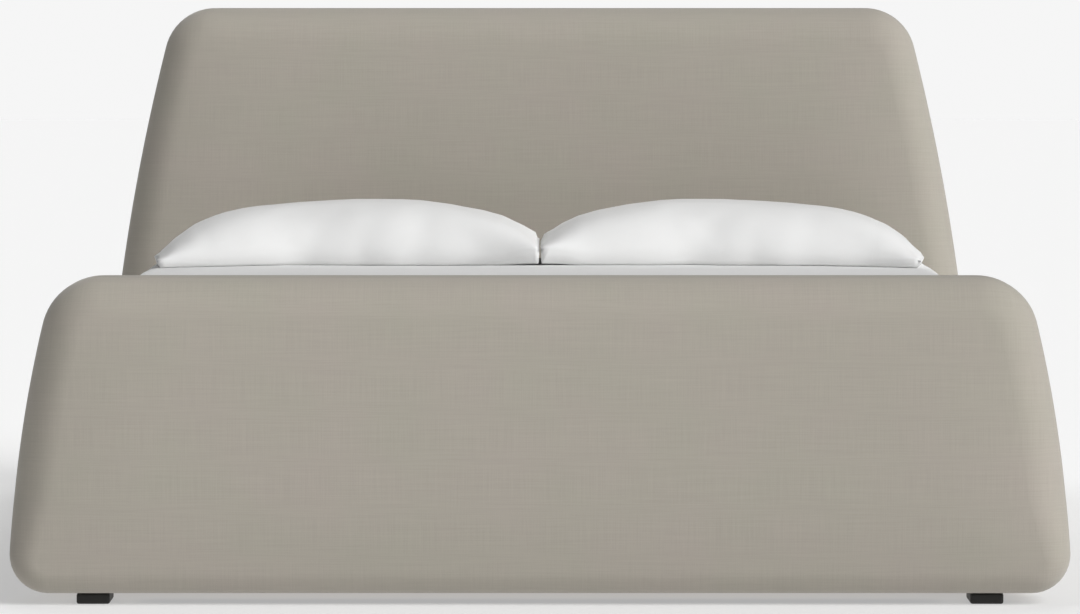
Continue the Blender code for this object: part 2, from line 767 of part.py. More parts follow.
def build_pillow(word, side, well_y, finishes):
    low = SLAT_TOP + MATTRESS_THICKNESS + 2 * GAP
    centre_x = side * (PILLOW_WIDTH / 2 + PILLOW_BETWEEN / 2)
    centre_y = well_y + MATTRESS_LENGTH / 2 - PILLOW_TO_MATTRESS_END - PILLOW_DEPTH / 2
    crown = PILLOW_LOFT - PILLOW_SEAM_HEIGHT
    stations = []
    for step in range(PILLOW_BASE_STEPS + 1):
        out = step / PILLOW_BASE_STEPS
        share = PILLOW_BASE_SHARE + (1 - PILLOW_BASE_SHARE) * out
        stations.append((share, PILLOW_SEAM_HEIGHT * out**2))
    for step in range(1, PILLOW_CROWN_STEPS + 1):
        angle = math.pi / 2 * step / (PILLOW_CROWN_STEPS + 0.6)
        rise = math.sin(angle) ** PILLOW_CROWN_POWER
        stations.append((math.cos(angle), PILLOW_SEAM_HEIGHT + crown * rise))
    loops = []
    for share, z in stations:
        power = PILLOW_CROWN_SQUARENESS + (PILLOW_SQUARENESS - PILLOW_CROWN_SQUARENESS) * share
        outline = superellipse(share * PILLOW_WIDTH / 2, share * PILLOW_DEPTH / 2, power)
        loops.append([(x, y, z) for x, y in outline])
    name = f"{word}_pillow"
    pillow = add_object(name, loft_mesh(name, loops), finishes["linen"], True)
    pillow.location = (centre_x, centre_y, low)


# ---------------------------------------------------------------- the whole bed


def make_finishes():
    return {
        "fabric": material("fabric", (0.37, 0.35, 0.31), 0.95),
        "foam": material("foam", (0.80, 0.76, 0.60), 0.9),
        "plywood": material("plywood", (0.62, 0.47, 0.30), 0.7),
        "timber": material("timber", (0.58, 0.42, 0.25), 0.75),
        "slat": material("slat", (0.70, 0.54, 0.35), 0.65),
        "dust_cloth": material("dust_cloth", (0.03, 0.03, 0.03), 0.95),
        "black": material("black", (0.012, 0.012, 0.010), 0.55),
        "steel": material("steel", (0.05, 0.05, 0.055), 0.45, 0.9),
        "zinc": material("zinc", (0.62, 0.62, 0.60), 0.35, 1.0),
        "nylon": material("nylon", (0.04, 0.04, 0.04), 0.5),
        "linen": material("linen", (0.80, 0.80, 0.80), 0.9),
    }


def make_boards():
    head = Board(
        "headboard", 1, HEAD_HEIGHT, HEAD_RAKE, HEAD_SIDE_RADIUS, HEAD_SIDE_CENTRE_HEIGHT
    )
    foot = Board(
        "footboard", -1, FOOT_HEIGHT, FOOT_RAKE, FOOT_SIDE_RADIUS, FOOT_SIDE_CENTRE_HEIGHT
    )
    return head, foot


def frame_rail_heights(board):
    """Bottom and top of each cross rail inside a board; the taller board has three."""
    low_top = board.frame_bottom + BOTTOM_RAIL_HEIGHT
    high_bottom = board.frame_top - FRAME_RAIL_HEIGHT
    heights = {"bottom": (board.frame_bottom, low_top), "top": (high_bottom, board.frame_top)}
    if board.name == "headboard":
        middle = (low_top + high_bottom) / 2
        heights["middle"] = (middle - FRAME_RAIL_HEIGHT / 2, middle + FRAME_RAIL_HEIGHT / 2)
    return heights


def main():
    clear_scene()
    finishes = make_finishes()
    boards = make_boards()
    well_y = centre_over_origin(boards)
    for board in boards:
        build_board(board, frame_rail_heights(board), finishes)
    board_cutters = [
        cutter(board.name + "_clearance",
               loft_mesh(board.name + "_clearance", board.slab_rings(-RAIL_END_GAP)))
        for board in boards
    ]
    for word, side in (("left", -1), ("right", 1)):
        build_side_rail(word, side, well_y, boards, finishes, board_cutters)
        for board in boards:
            name = f"{board.name}_{word}_bracket"
            bracket = add_object(name, loft_mesh(name, bracket_rings(board, side)),
                                 finishes["steel"])
            cut(bracket, bpy.data.objects[board.name + "_bolt_holes"])
            build_corner_bolt(board, word, side, finishes)

    build_slats(well_y, finishes)
    build_beam(boards, finishes)
    for board in boards:
        build_hanger(board, finishes)
    build_centre_legs(well_y, finishes)
    build_mattress(well_y, finishes)
    for word, side in (("left", -1), ("right", 1)):
        build_pillow(word, side, well_y, finishes)


main()
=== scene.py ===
"""Looks of an upholstered sleigh bed: cloth, bedding, timber, fittings and a plain studio.

Metres, +Z up. The headboard is towards +Y and the footboard towards -Y. The solid parts come
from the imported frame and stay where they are; what is made here is laid over them.
"""

import functools
import math

import bmesh
import bpy
import numpy as np
from bpy.props import FloatProperty, FloatVectorProperty, IntProperty, PointerProperty
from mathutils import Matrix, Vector


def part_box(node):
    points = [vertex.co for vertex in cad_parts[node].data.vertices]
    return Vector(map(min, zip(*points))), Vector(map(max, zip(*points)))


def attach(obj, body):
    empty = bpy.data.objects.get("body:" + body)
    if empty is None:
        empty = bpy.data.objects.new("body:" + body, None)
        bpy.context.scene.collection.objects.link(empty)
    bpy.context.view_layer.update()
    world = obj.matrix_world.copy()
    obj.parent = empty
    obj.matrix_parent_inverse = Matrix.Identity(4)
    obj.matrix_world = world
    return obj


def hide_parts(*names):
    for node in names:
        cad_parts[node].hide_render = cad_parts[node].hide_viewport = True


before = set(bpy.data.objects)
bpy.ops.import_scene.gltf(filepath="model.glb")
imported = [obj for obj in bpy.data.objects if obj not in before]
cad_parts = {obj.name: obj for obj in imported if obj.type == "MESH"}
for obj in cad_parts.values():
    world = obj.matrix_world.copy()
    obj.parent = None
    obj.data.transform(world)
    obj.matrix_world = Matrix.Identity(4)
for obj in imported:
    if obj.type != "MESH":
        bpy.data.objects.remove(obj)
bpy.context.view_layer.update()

bl_info = {
    "name": "Upholstered Sleigh Bed",
    "version": (1, 0, 0),
    "blender": (4, 5, 0),
    "location": "3D View > Sidebar > Bed",
    "description": "Makes the cloth, bedding, timber and fittings of an upholstered sleigh bed",
    "category": "Add Mesh",
}

BED = "bed_frame"
BOARDS = {"headboard": 1, "footboard": -1}
SIDES = {"left": -1, "right": 1}
SLATS = 11
PILLOW_STEP = 0.011
PILLOW_GAP = 0.0009  # From a pillow's inner end to the middle of the bed.
BOARD_STITCH = {"Pitch": 0.0052, "Length": 0.0038, "Radius": 0.00035}
HEM_STITCH = {"Pitch": 0.0042, "Length": 0.003, "Radius": 0.00028}
STITCH_LIFT, STITCH_OFFSET = 0.0001, 0.0042
SCREW = {"Radius": 0.0038, "Height": 0.0018, "Drive": 0.0021}


# ------------------------------------------------------------------ node trees


class Wire:
    """An output of a node. Python's operators on it add Math nodes to its tree."""

    def __init__(self, nodes, socket):
        self.nodes = nodes
        self.socket = socket

    def __abs__(self):
        return self.nodes.math("ABSOLUTE", self)

    @classmethod
    def add_operator(cls, name, operation):
        """Gives wires one of Python's operators, with the wire on its left or on its right."""
        setattr(cls, f"__{name}__", lambda wire, other: wire.nodes.math(operation, wire, other))
        setattr(cls, f"__r{name}__", lambda wire, other: wire.nodes.math(operation, other, wire))


for name, operation in {
    "add": "ADD", "sub": "SUBTRACT", "mul": "MULTIPLY", "truediv": "DIVIDE", "pow": "POWER",
}.items():
    Wire.add_operator(name, operation)


class Nodes:
    """Adds nodes to a shader or geometry tree."""

    def __init__(self, tree):
        self.tree = tree

    def node(self, kind, settings=None, inputs=None):
        """Adds one node: its settings first, then the values or links of its sockets."""
        made = self.tree.nodes.new(kind)
        for name, value in (settings or {}).items():
            setattr(made, name, value)
        for key, value in (inputs or {}).items():
            socket = self.input_socket(made, key)
            if isinstance(value, Wire):
                self.tree.links.new(value.socket, socket)
            else:
                socket.default_value = value
        return made

    def input_socket(self, made, key):
        """A socket by its place, or the first one in use with that name."""
        if isinstance(key, int):
            return made.inputs[key]
        return next(s for s in made.inputs if s.name == key and s.enabled)

    def out(self, kind, settings=None, inputs=None, output=0):
        """Adds one node and returns one of its outputs."""
        made = self.node(kind, settings, inputs)
        return Wire(self, made.outputs[output])

    def math(self, operation, *values, clamp=False):
        settings = {"operation": operation, "use_clamp": clamp}
        return self.out("ShaderNodeMath", settings, dict(enumerate(values)))

    sin = functools.partialmethod(math, "SINE")
    cos = functools.partialmethod(math, "COSINE")
    sqrt = functools.partialmethod(math, "SQRT")
    exp = functools.partialmethod(math, "EXPONENT")
    atan2 = functools.partialmethod(math, "ARCTAN2")

    def share(self, value):
        """The value held between 0 and 1."""
        return self.math("ADD", value, 0.0, clamp=True)

    def within(self, value, length):
        """The value held between 0 and a length."""
        return length * self.share(value / length)

    def vector(self, x, y, z):
        return self.out("ShaderNodeCombineXYZ", None, {0: x, 1: y, 2: z})

    def axes(self, vector):
        made = self.node("ShaderNodeSeparateXYZ", None, {0: vector})
        return [Wire(self, socket) for socket in made.outputs]

    def place(self):
        """Where a point of the surface is on its object."""
        return self.out("ShaderNodeTexCoord", None, None, "Object")

    def weave(self):
        """Where a point of the surface lies on the flat cloth."""
        return self.out("ShaderNodeAttribute", {"attribute_name": "weave"}, None, "Vector")

    def noise(self, vector, scale, detail=2.0, roughness=0.5):
        inputs = {"Vector": vector, "Scale": scale, "Detail": detail, "Roughness": roughness}
        return self.out("ShaderNodeTexNoise", None, inputs)

    def mix(self, factor, low, high):
        """A colour between two colours."""
        settings = {"data_type": "RGBA"}
        low = low if isinstance(low, Wire) else (*low, 1.0)
        high = high if isinstance(high, Wire) else (*high, 1.0)
        return self.out("ShaderNodeMix", settings, {0: factor, 6: low, 7: high}, 2)

    def bump(self, height, distance, strength=1.0):
        inputs = {"Strength": strength, "Distance": distance, "Height": height}
        return self.out("ShaderNodeBump", None, inputs)


class Numbers:
    """The same functions as Nodes has, on plain numbers and arrays."""

    sin = staticmethod(np.sin)
    cos = staticmethod(np.cos)
    sqrt = staticmethod(np.sqrt)
    exp = staticmethod(np.exp)
    atan2 = staticmethod(np.arctan2)

    @staticmethod
    def within(value, length):
        return np.clip(value, 0.0, length)


def geometry_tree(name, inputs):
    """A new geometry tree with named inputs. Returns its nodes and its inputs' wires."""
    tree = bpy.data.node_groups.new(name, "GeometryNodeTree")
    for label, value in inputs.items():
        if value is None:
            kind = "NodeSocketGeometry"
        elif isinstance(value, int):
            kind = "NodeSocketInt"
        else:
            kind = "NodeSocketFloat"
        socket = tree.interface.new_socket(label, in_out="INPUT", socket_type=kind)
        if value is not None:
            socket.default_value = value
    tree.interface.new_socket("Finish", in_out="INPUT", socket_type="NodeSocketMaterial")
    tree.interface.new_socket("Geometry", in_out="OUTPUT", socket_type="NodeSocketGeometry")
    nodes = Nodes(tree)
    source = tree.nodes.new("NodeGroupInput")
    wires = {label: Wire(nodes, source.outputs[label]) for label in (*inputs, "Finish")}
    return nodes, wires


def end_tree(nodes, geometry, finish):
    """Real geometry with its material is what every tree gives."""
    real = nodes.out("GeometryNodeRealizeInstances", None, {"Geometry": geometry})
    dressed = nodes.out("GeometryNodeSetMaterial", None, {"Geometry": real, "Material": finish})
    nodes.node("NodeGroupOutput", None, {"Geometry": dressed})
    return nodes.tree


def new_object(name, data):
    obj = bpy.data.objects.new(name, data)
    bpy.context.scene.collection.objects.link(obj)
    return obj


def settle(obj):
    """Turns an object with its modifiers into one plain mesh."""
    graph = bpy.context.evaluated_depsgraph_get()
    evaluated = obj.evaluated_get(graph)
    mesh = bpy.data.meshes.new_from_object(
        evaluated, preserve_all_data_layers=True, depsgraph=graph
    )
    mesh.name = obj.name
    obj.modifiers.clear()
    obj.data = mesh
    return obj


def grow(name, tree, values, finish, start=None):
    """Runs a geometry tree with these inputs and keeps the result as a plain mesh."""
    obj = new_object(name, start or bpy.data.meshes.new(name))
    modifier = obj.modifiers.new(tree.name, "NODES")
    modifier.node_group = tree
    for item in tree.interface.items_tree:
        if item.in_out == "INPUT" and item.name in values:
            modifier[item.identifier] = values[item.name]
        elif item.name == "Finish":
            modifier[item.identifier] = finish
    return settle(obj)


# ------------------------------------------------------------------ meshes


def mesh_from(name, points, faces, finish=None, weave=None):
    """A mesh from arrays; weave gives each point its place on the flat cloth, in metres."""
    mesh = bpy.data.meshes.new(name)
    mesh.from_pydata(np.asarray(points).tolist(), [], [tuple(map(int, f)) for f in faces])
    if weave is not None:
        store_vectors(mesh, "weave", weave)
    mesh.shade_smooth()
    if finish is not None:
        mesh.materials.append(finish)
    return mesh


def store_vectors(mesh, name, values):
    """Keeps one vector for each point under a name that finishes and trees can read."""
    layer = mesh.attributes.new(name, "FLOAT_VECTOR", "POINT")
    layer.data.foreach_set("vector", np.asarray(values, np.float32).ravel())


def vectors_of(mesh, name="position"):
    """The vectors that a mesh keeps for its points, or where the points are."""
    found = np.empty(len(mesh.vertices) * 3, np.float32)
    mesh.attributes[name].data.foreach_get("vector", found)
    return found.reshape(-1, 3).astype(float)


def set_points(mesh, points):
    mesh.vertices.foreach_set("co", np.asarray(points, np.float32).ravel())
    mesh.update()


def weld(mesh, turn_outwards=False):
    """Merges doubles and, on a closed mesh, may turn all faces outwards."""
    bm = bmesh.new()
    bm.from_mesh(mesh)
    bmesh.ops.remove_doubles(bm, verts=bm.verts, dist=1e-6)
    if turn_outwards:
        bmesh.ops.recalc_face_normals(bm, faces=bm.faces)
    bm.to_mesh(mesh)
    bm.free()


def thicken(obj, thickness):
    """Gives cloth its thickness on its inner side."""
    wall = obj.modifiers.new("thickness", "SOLIDIFY")
    wall.thickness = thickness
    wall.offset = -1.0
    return settle(obj)


def made_piece(name, points, faces, finish, weave):
    """A closed piece from arrays, with its faces outwards."""
    mesh = mesh_from(name, points, faces, finish, weave)
    weld(mesh, turn_outwards=True)
    return new_object(name, mesh)


def loop_faces(first, second, count):
    """Quads between two closed rows of points that start at these indices."""
    i = np.arange(count)
    j = (i + 1) % count
    return np.stack([first + i, first + j, second + j, second + i], axis=1)


def grid_faces(columns, rows, start=0):
    """Quads of a grid whose points go along its columns first."""
    i, j = np.meshgrid(np.arange(columns - 1), np.arange(rows - 1), indexing="ij")
    low = start + j * columns + i
    return np.stack([low, low + 1, low + columns + 1, low + columns], axis=-1).reshape(-1, 4)


def rounded_loop(half_x, half_y, radius, across, along):
    """A rounded rectangle, counter-clockwise from the middle of its lower left corner."""
    eighth = radius * math.pi / 4
    points = []
    for turn in range(4):
        half, other = (half_x, half_y) if turn % 2 == 0 else (half_y, half_x)
        count = across if turn % 2 == 0 else along
        straight = 2 * (half - radius)
        s = np.linspace(0, straight + 2 * eighth, count + 1)[:-1]
        bent = np.clip(s, 0, eighth) + np.clip(s - eighth - straight, 0, eighth)
        angle = bent / radius - math.pi * 3 / 4
        run = np.clip(s - eighth, 0, straight)
        x = radius - half + run + radius * np.cos(angle)
        y = radius - other + radius * np.sin(angle)
        c, d = math.cos(turn * math.pi / 2), math.sin(turn * math.pi / 2)
        points.append(np.stack([c * x - d * y, d * x + c * y], axis=1))
    return np.concatenate(points)


def patch(loop, across, along):
    """Grid of points inside a loop that starts at a corner, as rows of across + 1 points."""
    low = loop[: across + 1]
    right = loop[across: across + along + 1]
    high = loop[across + along: 2 * across + along + 1][::-1]
    left = np.concatenate([loop[2 * across + along:], loop[:1]])[::-1]
    u = np.linspace(0, 1, across + 1)[None, :, None]
    v = np.linspace(0, 1, along + 1)[:, None, None]
    ruled = (1 - v) * low[None] + v * high[None] + (1 - u) * left[:, None] + u * right[:, None]
    corners = (1 - u) * (1 - v) * low[0] + u * (1 - v) * low[-1]
    corners = corners + (1 - u) * v * high[0] + u * v * high[-1]
    return ruled - corners


def skin_of_loops(loops, across, along, close_low=True):
    """Points and faces of a body through loops from low to high, closed by patches."""
    count = 2 * (across + along)
    points = [np.asarray(loop) for loop in loops]
    faces = [
        loop_faces(k * count, (k + 1) * count, count) for k in range(len(loops) - 1)
    ]
    start = len(loops) * count
    for loop, turned in ((loops[0], True), (loops[-1], False)):
        if turned and not close_low:
            continue
        inside = patch(np.asarray(loop), across, along).reshape(-1, 3)
        quads = grid_faces(across + 1, along + 1, start)
        faces.append(quads[:, ::-1] if turned else quads)
        points.append(inside)
        start += len(inside)
    return np.concatenate(points), np.concatenate(faces)


def soft_noise(points, pitch, seed):
    """A smooth random height for each point, about -1 to 1, from a few crossing waves."""
    draw = np.random.default_rng(seed)
    total = np.zeros(len(points))
    for octave in range(3):
        for _ in range(5):
            way = draw.normal(size=3)
            way /= np.linalg.norm(way)
            rate = 2 * math.pi / (pitch / 1.7**octave) * draw.uniform(0.7, 1.3)
            total += np.sin(points @ way * rate + draw.uniform(0, 6.28)) / 1.8**octave
    return total / 4.5


def smooth_step(value, low, high):
    share = np.clip((value - low) / (high - low), 0, 1)
    return share * share * (3 - 2 * share)


# ------------------------------------------------------------------ finishes


def new_finish(name, roughness, **settings):
    """A material, its nodes and its shader, whose even values are set straight away."""
    made = bpy.data.materials.new(name)
    made.use_nodes = True
    shader = made.node_tree.nodes["Principled BSDF"]
    shader.inputs["Roughness"].default_value = roughness
    for label, value in settings.items():
        shader.inputs[label.replace("_", " ").title().replace("Ior", "IOR")].default_value = value
    return made, Nodes(made.node_tree), shader


def feed(nodes, shader, **links):
    """Links what varies over a surface to its shader's sockets."""
    for label, wire in links.items():
        nodes.tree.links.new(wire.socket, shader.inputs[label.replace("_", " ").title()])


def darker(colour, share):
    return tuple(channel * share for channel in colour)


def plain_weave(nodes, x, y):
    """Height of an over-and-under weave whose threads are one unit wide."""
    column = nodes.math("FLOOR", x)
    row = nodes.math("FLOOR", y)
    over = nodes.math("MODULO", abs(column + row), 2.0)
    warp = abs(nodes.sin(x * math.pi))
    weft = abs(nodes.sin(y * math.pi))
    warp_high = warp * (0.45 + 0.55 * weft)
    weft_high = weft * (0.45 + 0.55 * warp)
    return over * warp_high + (1 - over) * weft_high


def upholstery_finish(name, colour, thread):
    """Matte plain-weave cloth with slubs along its threads and a faint melange."""
    finish, nodes, shader = new_finish(
        name, 0.92, sheen_weight=0.35, sheen_roughness=0.45, specular_ior_level=0.25
    )
    x, y, _ = nodes.axes(nodes.weave())
    height = plain_weave(nodes, x / thread, y / thread)
    warp_slub = nodes.noise(nodes.vector(x / thread, y * 14.0, 0.0), 0.9, 2.0)
    weft_slub = nodes.noise(nodes.vector(x * 14.0, y / thread, 4.0), 0.9, 2.0)
    cloud = nodes.noise(nodes.vector(x, y, 9.0), 7.0, 3.0)
    # The slubs and the melange are real tone. The weave's height is also painted in, lighter on
    # raised threads and darker between them, as painted shade.
    light = 0.42 * warp_slub + 0.42 * weft_slub + 0.16 * height
    tone = nodes.mix(nodes.share((light - 0.25) * 2.0), darker(colour, 0.90), darker(colour, 1.09))
    warm = nodes.mix(nodes.share((cloud - 0.3) * 2.2), (0.985, 1.0, 0.985), (1.015, 0.995, 1.01))
    tint = nodes.out("ShaderNodeMix", {"data_type": "RGBA", "blend_type": "MULTIPLY"},
                     {0: 1.0, 6: tone, 7: warm}, 2)
    relief = height * 0.6 + warp_slub * 0.5 + weft_slub * 0.5
    feed(nodes, shader, base_color=tint, normal=nodes.bump(relief, thread * 0.22, 0.55),
         roughness=0.88 + 0.1 * warp_slub)
    return finish


def cotton_finish(name, colour, thread):
    """Smooth percale with a fine even thread."""
    finish, nodes, shader = new_finish(
        name, 0.82, sheen_weight=0.2, sheen_roughness=0.4, specular_ior_level=0.3
    )
    x, y, _ = nodes.axes(nodes.weave())
    height = plain_weave(nodes, x / thread, y / thread)
    crush = nodes.noise(nodes.vector(x, y, 2.0), 26.0, 4.0, 0.6)
    tone = nodes.mix(nodes.share(0.2 + 0.8 * crush), darker(colour, 0.965), colour)
    relief = height * 0.25 + crush * 2.2
    feed(nodes, shader, base_color=tone, normal=nodes.bump(relief, thread * 0.6, 0.35))
    return finish


def ticking_finish(name, colour, stripe):
    """Knitted mattress cover with a fine rib and small quilted diamonds, whose hollows are painted
    darker as shade.
    """
    finish, nodes, shader = new_finish(name, 0.85, sheen_weight=0.25)
    x, y, _ = nodes.axes(nodes.weave())
    diamonds = abs(nodes.sin((x + y) * math.pi / stripe)) * abs(nodes.sin((x - y) * math.pi / stripe))
    puff = diamonds ** 0.35
    knit = plain_weave(nodes, x / 0.0016, y / 0.0022)
    # The hollows between the quilted puffs are painted darker: this is painted shade, not a colour of
    # the cover.
    tone = nodes.mix(nodes.share(puff), darker(colour, 0.80), colour)
    feed(nodes, shader, base_color=tone, normal=nodes.bump(puff + 0.12 * knit, 0.0022, 0.8))
    return finish


def wood_finish(name, along, light, dark, ring=0.011):
    """Planed timber whose grain runs along one axis: 0 for X, 1 for Y, 2 for Z."""
    finish, nodes, shader = new_finish(name, 0.6, specular_ior_level=0.35)
    place = nodes.place()
    spread = nodes.axes(place)
    length = spread.pop(along)
    wide, deep = spread
    sway = nodes.noise(nodes.vector(length * 1.3, wide * 5.0, deep * 5.0), 1.0, 3.0)
    ring_phase = (wide + deep * 0.6 + sway * 0.09) * (2 * math.pi / ring)
    rings = 0.5 + 0.5 * nodes.sin(ring_phase)
    fibre = nodes.noise(nodes.vector(length * 14.0, wide * 700.0, deep * 700.0), 1.0, 2.0)
    patchy = nodes.noise(nodes.vector(length * 2.0, wide * 9.0, deep * 9.0), 1.0, 2.0)
    amount = nodes.share(0.45 * rings + 0.35 * fibre + 0.35 * patchy - 0.1)
    tone = nodes.mix(amount, light, dark)
    feed(nodes, shader, base_color=tone, roughness=0.5 + 0.2 * fibre,
         normal=nodes.bump(fibre + 0.3 * rings, 0.0003, 0.5))
    return finish


def plywood_finish(name, light, dark, ply=0.0018):
    """Birch plywood: veneer faces and dark glue lines where its edges show."""
    finish, nodes, shader = new_finish(name, 0.62, specular_ior_level=0.3)
    place = nodes.place()
    x, y, z = nodes.axes(place)
    layers = abs(nodes.sin(y * math.pi / ply)) ** 6
    fibre = nodes.noise(nodes.vector(x * 9.0, y * 300.0, z * 300.0), 1.0, 3.0)
    tone = nodes.mix(nodes.share(0.8 * fibre + 0.25 * layers - 0.1), light, dark)
    feed(nodes, shader, base_color=tone, normal=nodes.bump(fibre, 0.0002, 0.4))
    return finish


def foam_finish(name, colour):
    """Open-cell upholstery foam, with painted shade in its pores."""
    finish, nodes, shader = new_finish(name, 0.95, specular_ior_level=0.1)
    place = nodes.place()
    cells = nodes.out("ShaderNodeTexVoronoi", None, {"Vector": place, "Scale": 420.0})
    cloud = nodes.noise(place, 11.0, 3.0)
    # The pores, where the bump is lowest, are painted darker as shade; the cloud adds random tone.
    tone = nodes.mix(nodes.share(cells * 0.7 + cloud * 0.4), darker(colour, 0.72), colour)
    feed(nodes, shader, base_color=tone, normal=nodes.bump(cells, 0.0008, 0.7))
    return finish


def dust_cloth_finish(name, colour):
    """Black non-woven cloth with a small dimpled bond pattern."""
    finish, nodes, shader = new_finish(name, 0.95, sheen_weight=0.2)
    place = nodes.place()
    x, y, _ = nodes.axes(place)
    dimples = nodes.sin(x * math.pi / 0.0016) * nodes.sin(y * math.pi / 0.0016)
    fluff = nodes.noise(place, 900.0, 2.0)
    tone = nodes.mix(nodes.share(fluff), darker(colour, 0.7), darker(colour, 1.5))
    feed(nodes, shader, base_color=tone, normal=nodes.bump(dimples + fluff, 0.0004, 0.6))
    return finish


def coated_finish(name, colour, roughness, grain, depth):
    """A painted or moulded surface with a fine even texture."""
    finish, nodes, shader = new_finish(name, roughness)
    place = nodes.place()
    peel = nodes.noise(place, grain, 3.0)
    scuff = nodes.noise(place, 38.0, 4.0, 0.65)
    tone = nodes.mix(nodes.share(scuff * 1.4 - 0.3), darker(colour, 0.85), darker(colour, 1.35))
    feed(nodes, shader, base_color=tone, roughness=roughness - 0.08 + 0.16 * scuff,
         normal=nodes.bump(peel, depth, 0.5))
    return finish


def metal_finish(name, colour, roughness):
    """Plated steel with fine turning marks."""
    finish, nodes, shader = new_finish(name, roughness, metallic=1.0)
    place = nodes.place()
    marks = nodes.noise(nodes.vector(*[axis * k for axis, k in
                                       zip(nodes.axes(place), (900.0, 60.0, 900.0))]), 1.0, 3.0)
    tone = nodes.mix(nodes.share(marks), darker(colour, 0.86), colour)
    feed(nodes, shader, base_color=tone, roughness=roughness - 0.06 + 0.14 * marks,
         normal=nodes.bump(marks, 0.0001, 0.4))
    return finish


# ------------------------------------------------------------------ settings


def colour_of(label, default):
    return FloatVectorProperty(
        name=label, description=f"Linear colour of the {label.lower()}", default=default,
        size=3, min=0.0, max=1.0, subtype="COLOR",
    )


def number(label, description, default, **kind):
    return FloatProperty(name=label, description=description, default=default, **kind)


def length(label, description, default):
    return number(label, description, default, unit="LENGTH")


def angle(label, description, degrees):
    return number(label, description, math.radians(degrees), subtype="ANGLE")


class BED_PG_boards(bpy.types.PropertyGroup):
    """Shape of the two upholstered boards."""

    half_width: length("Half width", "Half of the boards' greatest width",
                       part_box("footboard_cover")[1].x)
    underside: length("Underside", "Height of the boards' underside",
                      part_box("footboard_cover")[0].z)
    thickness: length("Thickness", "Front to back, across the lean", 0.170)
    rounding: length("Rounding", "Radius of the long edges", 0.065)
    low_rounding: length("Low rounding", "Radius of the edges at the underside", 0.035)
    rounding_rise: length("Rounding rise", "Height over which the edge radius grows", 0.165)
    bottom_corner: length("Bottom corner", "Radius of the lower corners seen from the front", 0.064)
    top_corner: length("Top corner", "Radius of the upper corners seen from the front", 0.100)
    fullness: length("Fullness", "How far the faces seen from the foot end swell", 0.016)
    far_fullness: length("Far fullness", "How far the other faces swell", 0.004)
    padding: length("Padding", "From an edge to where the swelling levels out", 0.085)
    cloth: length("Cloth", "Thickness of the cover", 0.0012)
    seam_inset: length("Seam inset", "From the edge rounding to the seam of the far panel", 0.005)
    groove: length("Groove", "Depth of the seam", 0.0022)
    headboard_lean: angle("Headboard lean", "Angle of the headboard", 6.0)
    footboard_lean: angle("Footboard lean", "Angle of the footboard", 3.0)
    headboard_radius: length("Headboard side radius", "Radius of its flared sides", 4.17)
    headboard_centre: length("Headboard side centre", "Height of that arc's centre", -0.117)
    footboard_radius: length("Footboard side radius", "Radius of its flared sides", 2.05)
    footboard_centre: length("Footboard side centre", "Height of that arc's centre", -0.031)


class BED_PG_rails(bpy.types.PropertyGroup):
    """Shape of the covers of the side rails."""

    top_rounding: length("Top rounding", "Radius of both upper edges", 0.024)
    outer_corner: length("Outer corner", "Radius of the lower outer edge", 0.014)
    inner_corner: length("Inner corner", "Radius of the lower inner edge", 0.005)
    end_gap: length("End gap", "Gap between a rail and the boards", 0.0006)
    staple_gap_low: length("Staple line", "From the inner face to the open edge below", 0.0105)
    staple_gap_high: length("Far staple line", "From the inner face to the far edge", 0.0275)
    fullness: length("Fullness", "How far the outer face swells", 0.003)


class BED_PG_bedding(bpy.types.PropertyGroup):
    """Mattress, fitted sheet and pillows."""

    corner: length("Mattress corner", "Corner radius seen from above", 0.055)
    edge: length("Mattress edge", "Radius of the mattress edges", 0.044)
    crown: length("Crown", "How far the middle of the mattress stands up", 0.006)
    sheet_edge: length("Sheet edge", "Radius of the sheet over the mattress edge", 0.045)
    sheet_room: length("Sheet room", "Air between the sheet and the mattress", 0.0035)
    sheet_cloth: length("Sheet thickness", "Thickness of the sheet", 0.0009)
    sheet_drop: length("Sheet drop", "From the top of the mattress to the elastic hem", 0.205)
    gather: length("Gather", "Depth of the folds at the elastic hem", 0.0035)
    loft: length("Pillow loft", "Height of a pillow above the mattress edge", 0.128)
    pressure: number("Pressure", "How firmly the pillows are filled", 5.0)
    frames: IntProperty(name="Frames", description="Steps of the filling", default=26)
    evenness: number("Evenness", "How evenly the filling is spread", 0.62)


class BED_PG_finishes(bpy.types.PropertyGroup):
    """Colours of the cloth, bedding and timber."""

    upholstery: colour_of("Upholstery", (0.405, 0.375, 0.325))
    thread: length("Thread", "Width of one upholstery thread", 0.0011)
    bedding: colour_of("Bedding", (0.85, 0.85, 0.845))
    ticking: colour_of("Ticking", (0.78, 0.77, 0.74))
    foam: colour_of("Foam", (0.80, 0.74, 0.52))
    pine: colour_of("Pine", (0.66, 0.47, 0.27))
    pine_grain: colour_of("Pine grain", (0.42, 0.25, 0.12))
    feet: colour_of("Feet", (0.012, 0.0115, 0.010))
    steel: colour_of("Steel", (0.022, 0.022, 0.024))
    zinc: colour_of("Zinc", (0.58, 0.59, 0.60))
    nylon: colour_of("Nylon", (0.045, 0.045, 0.047))


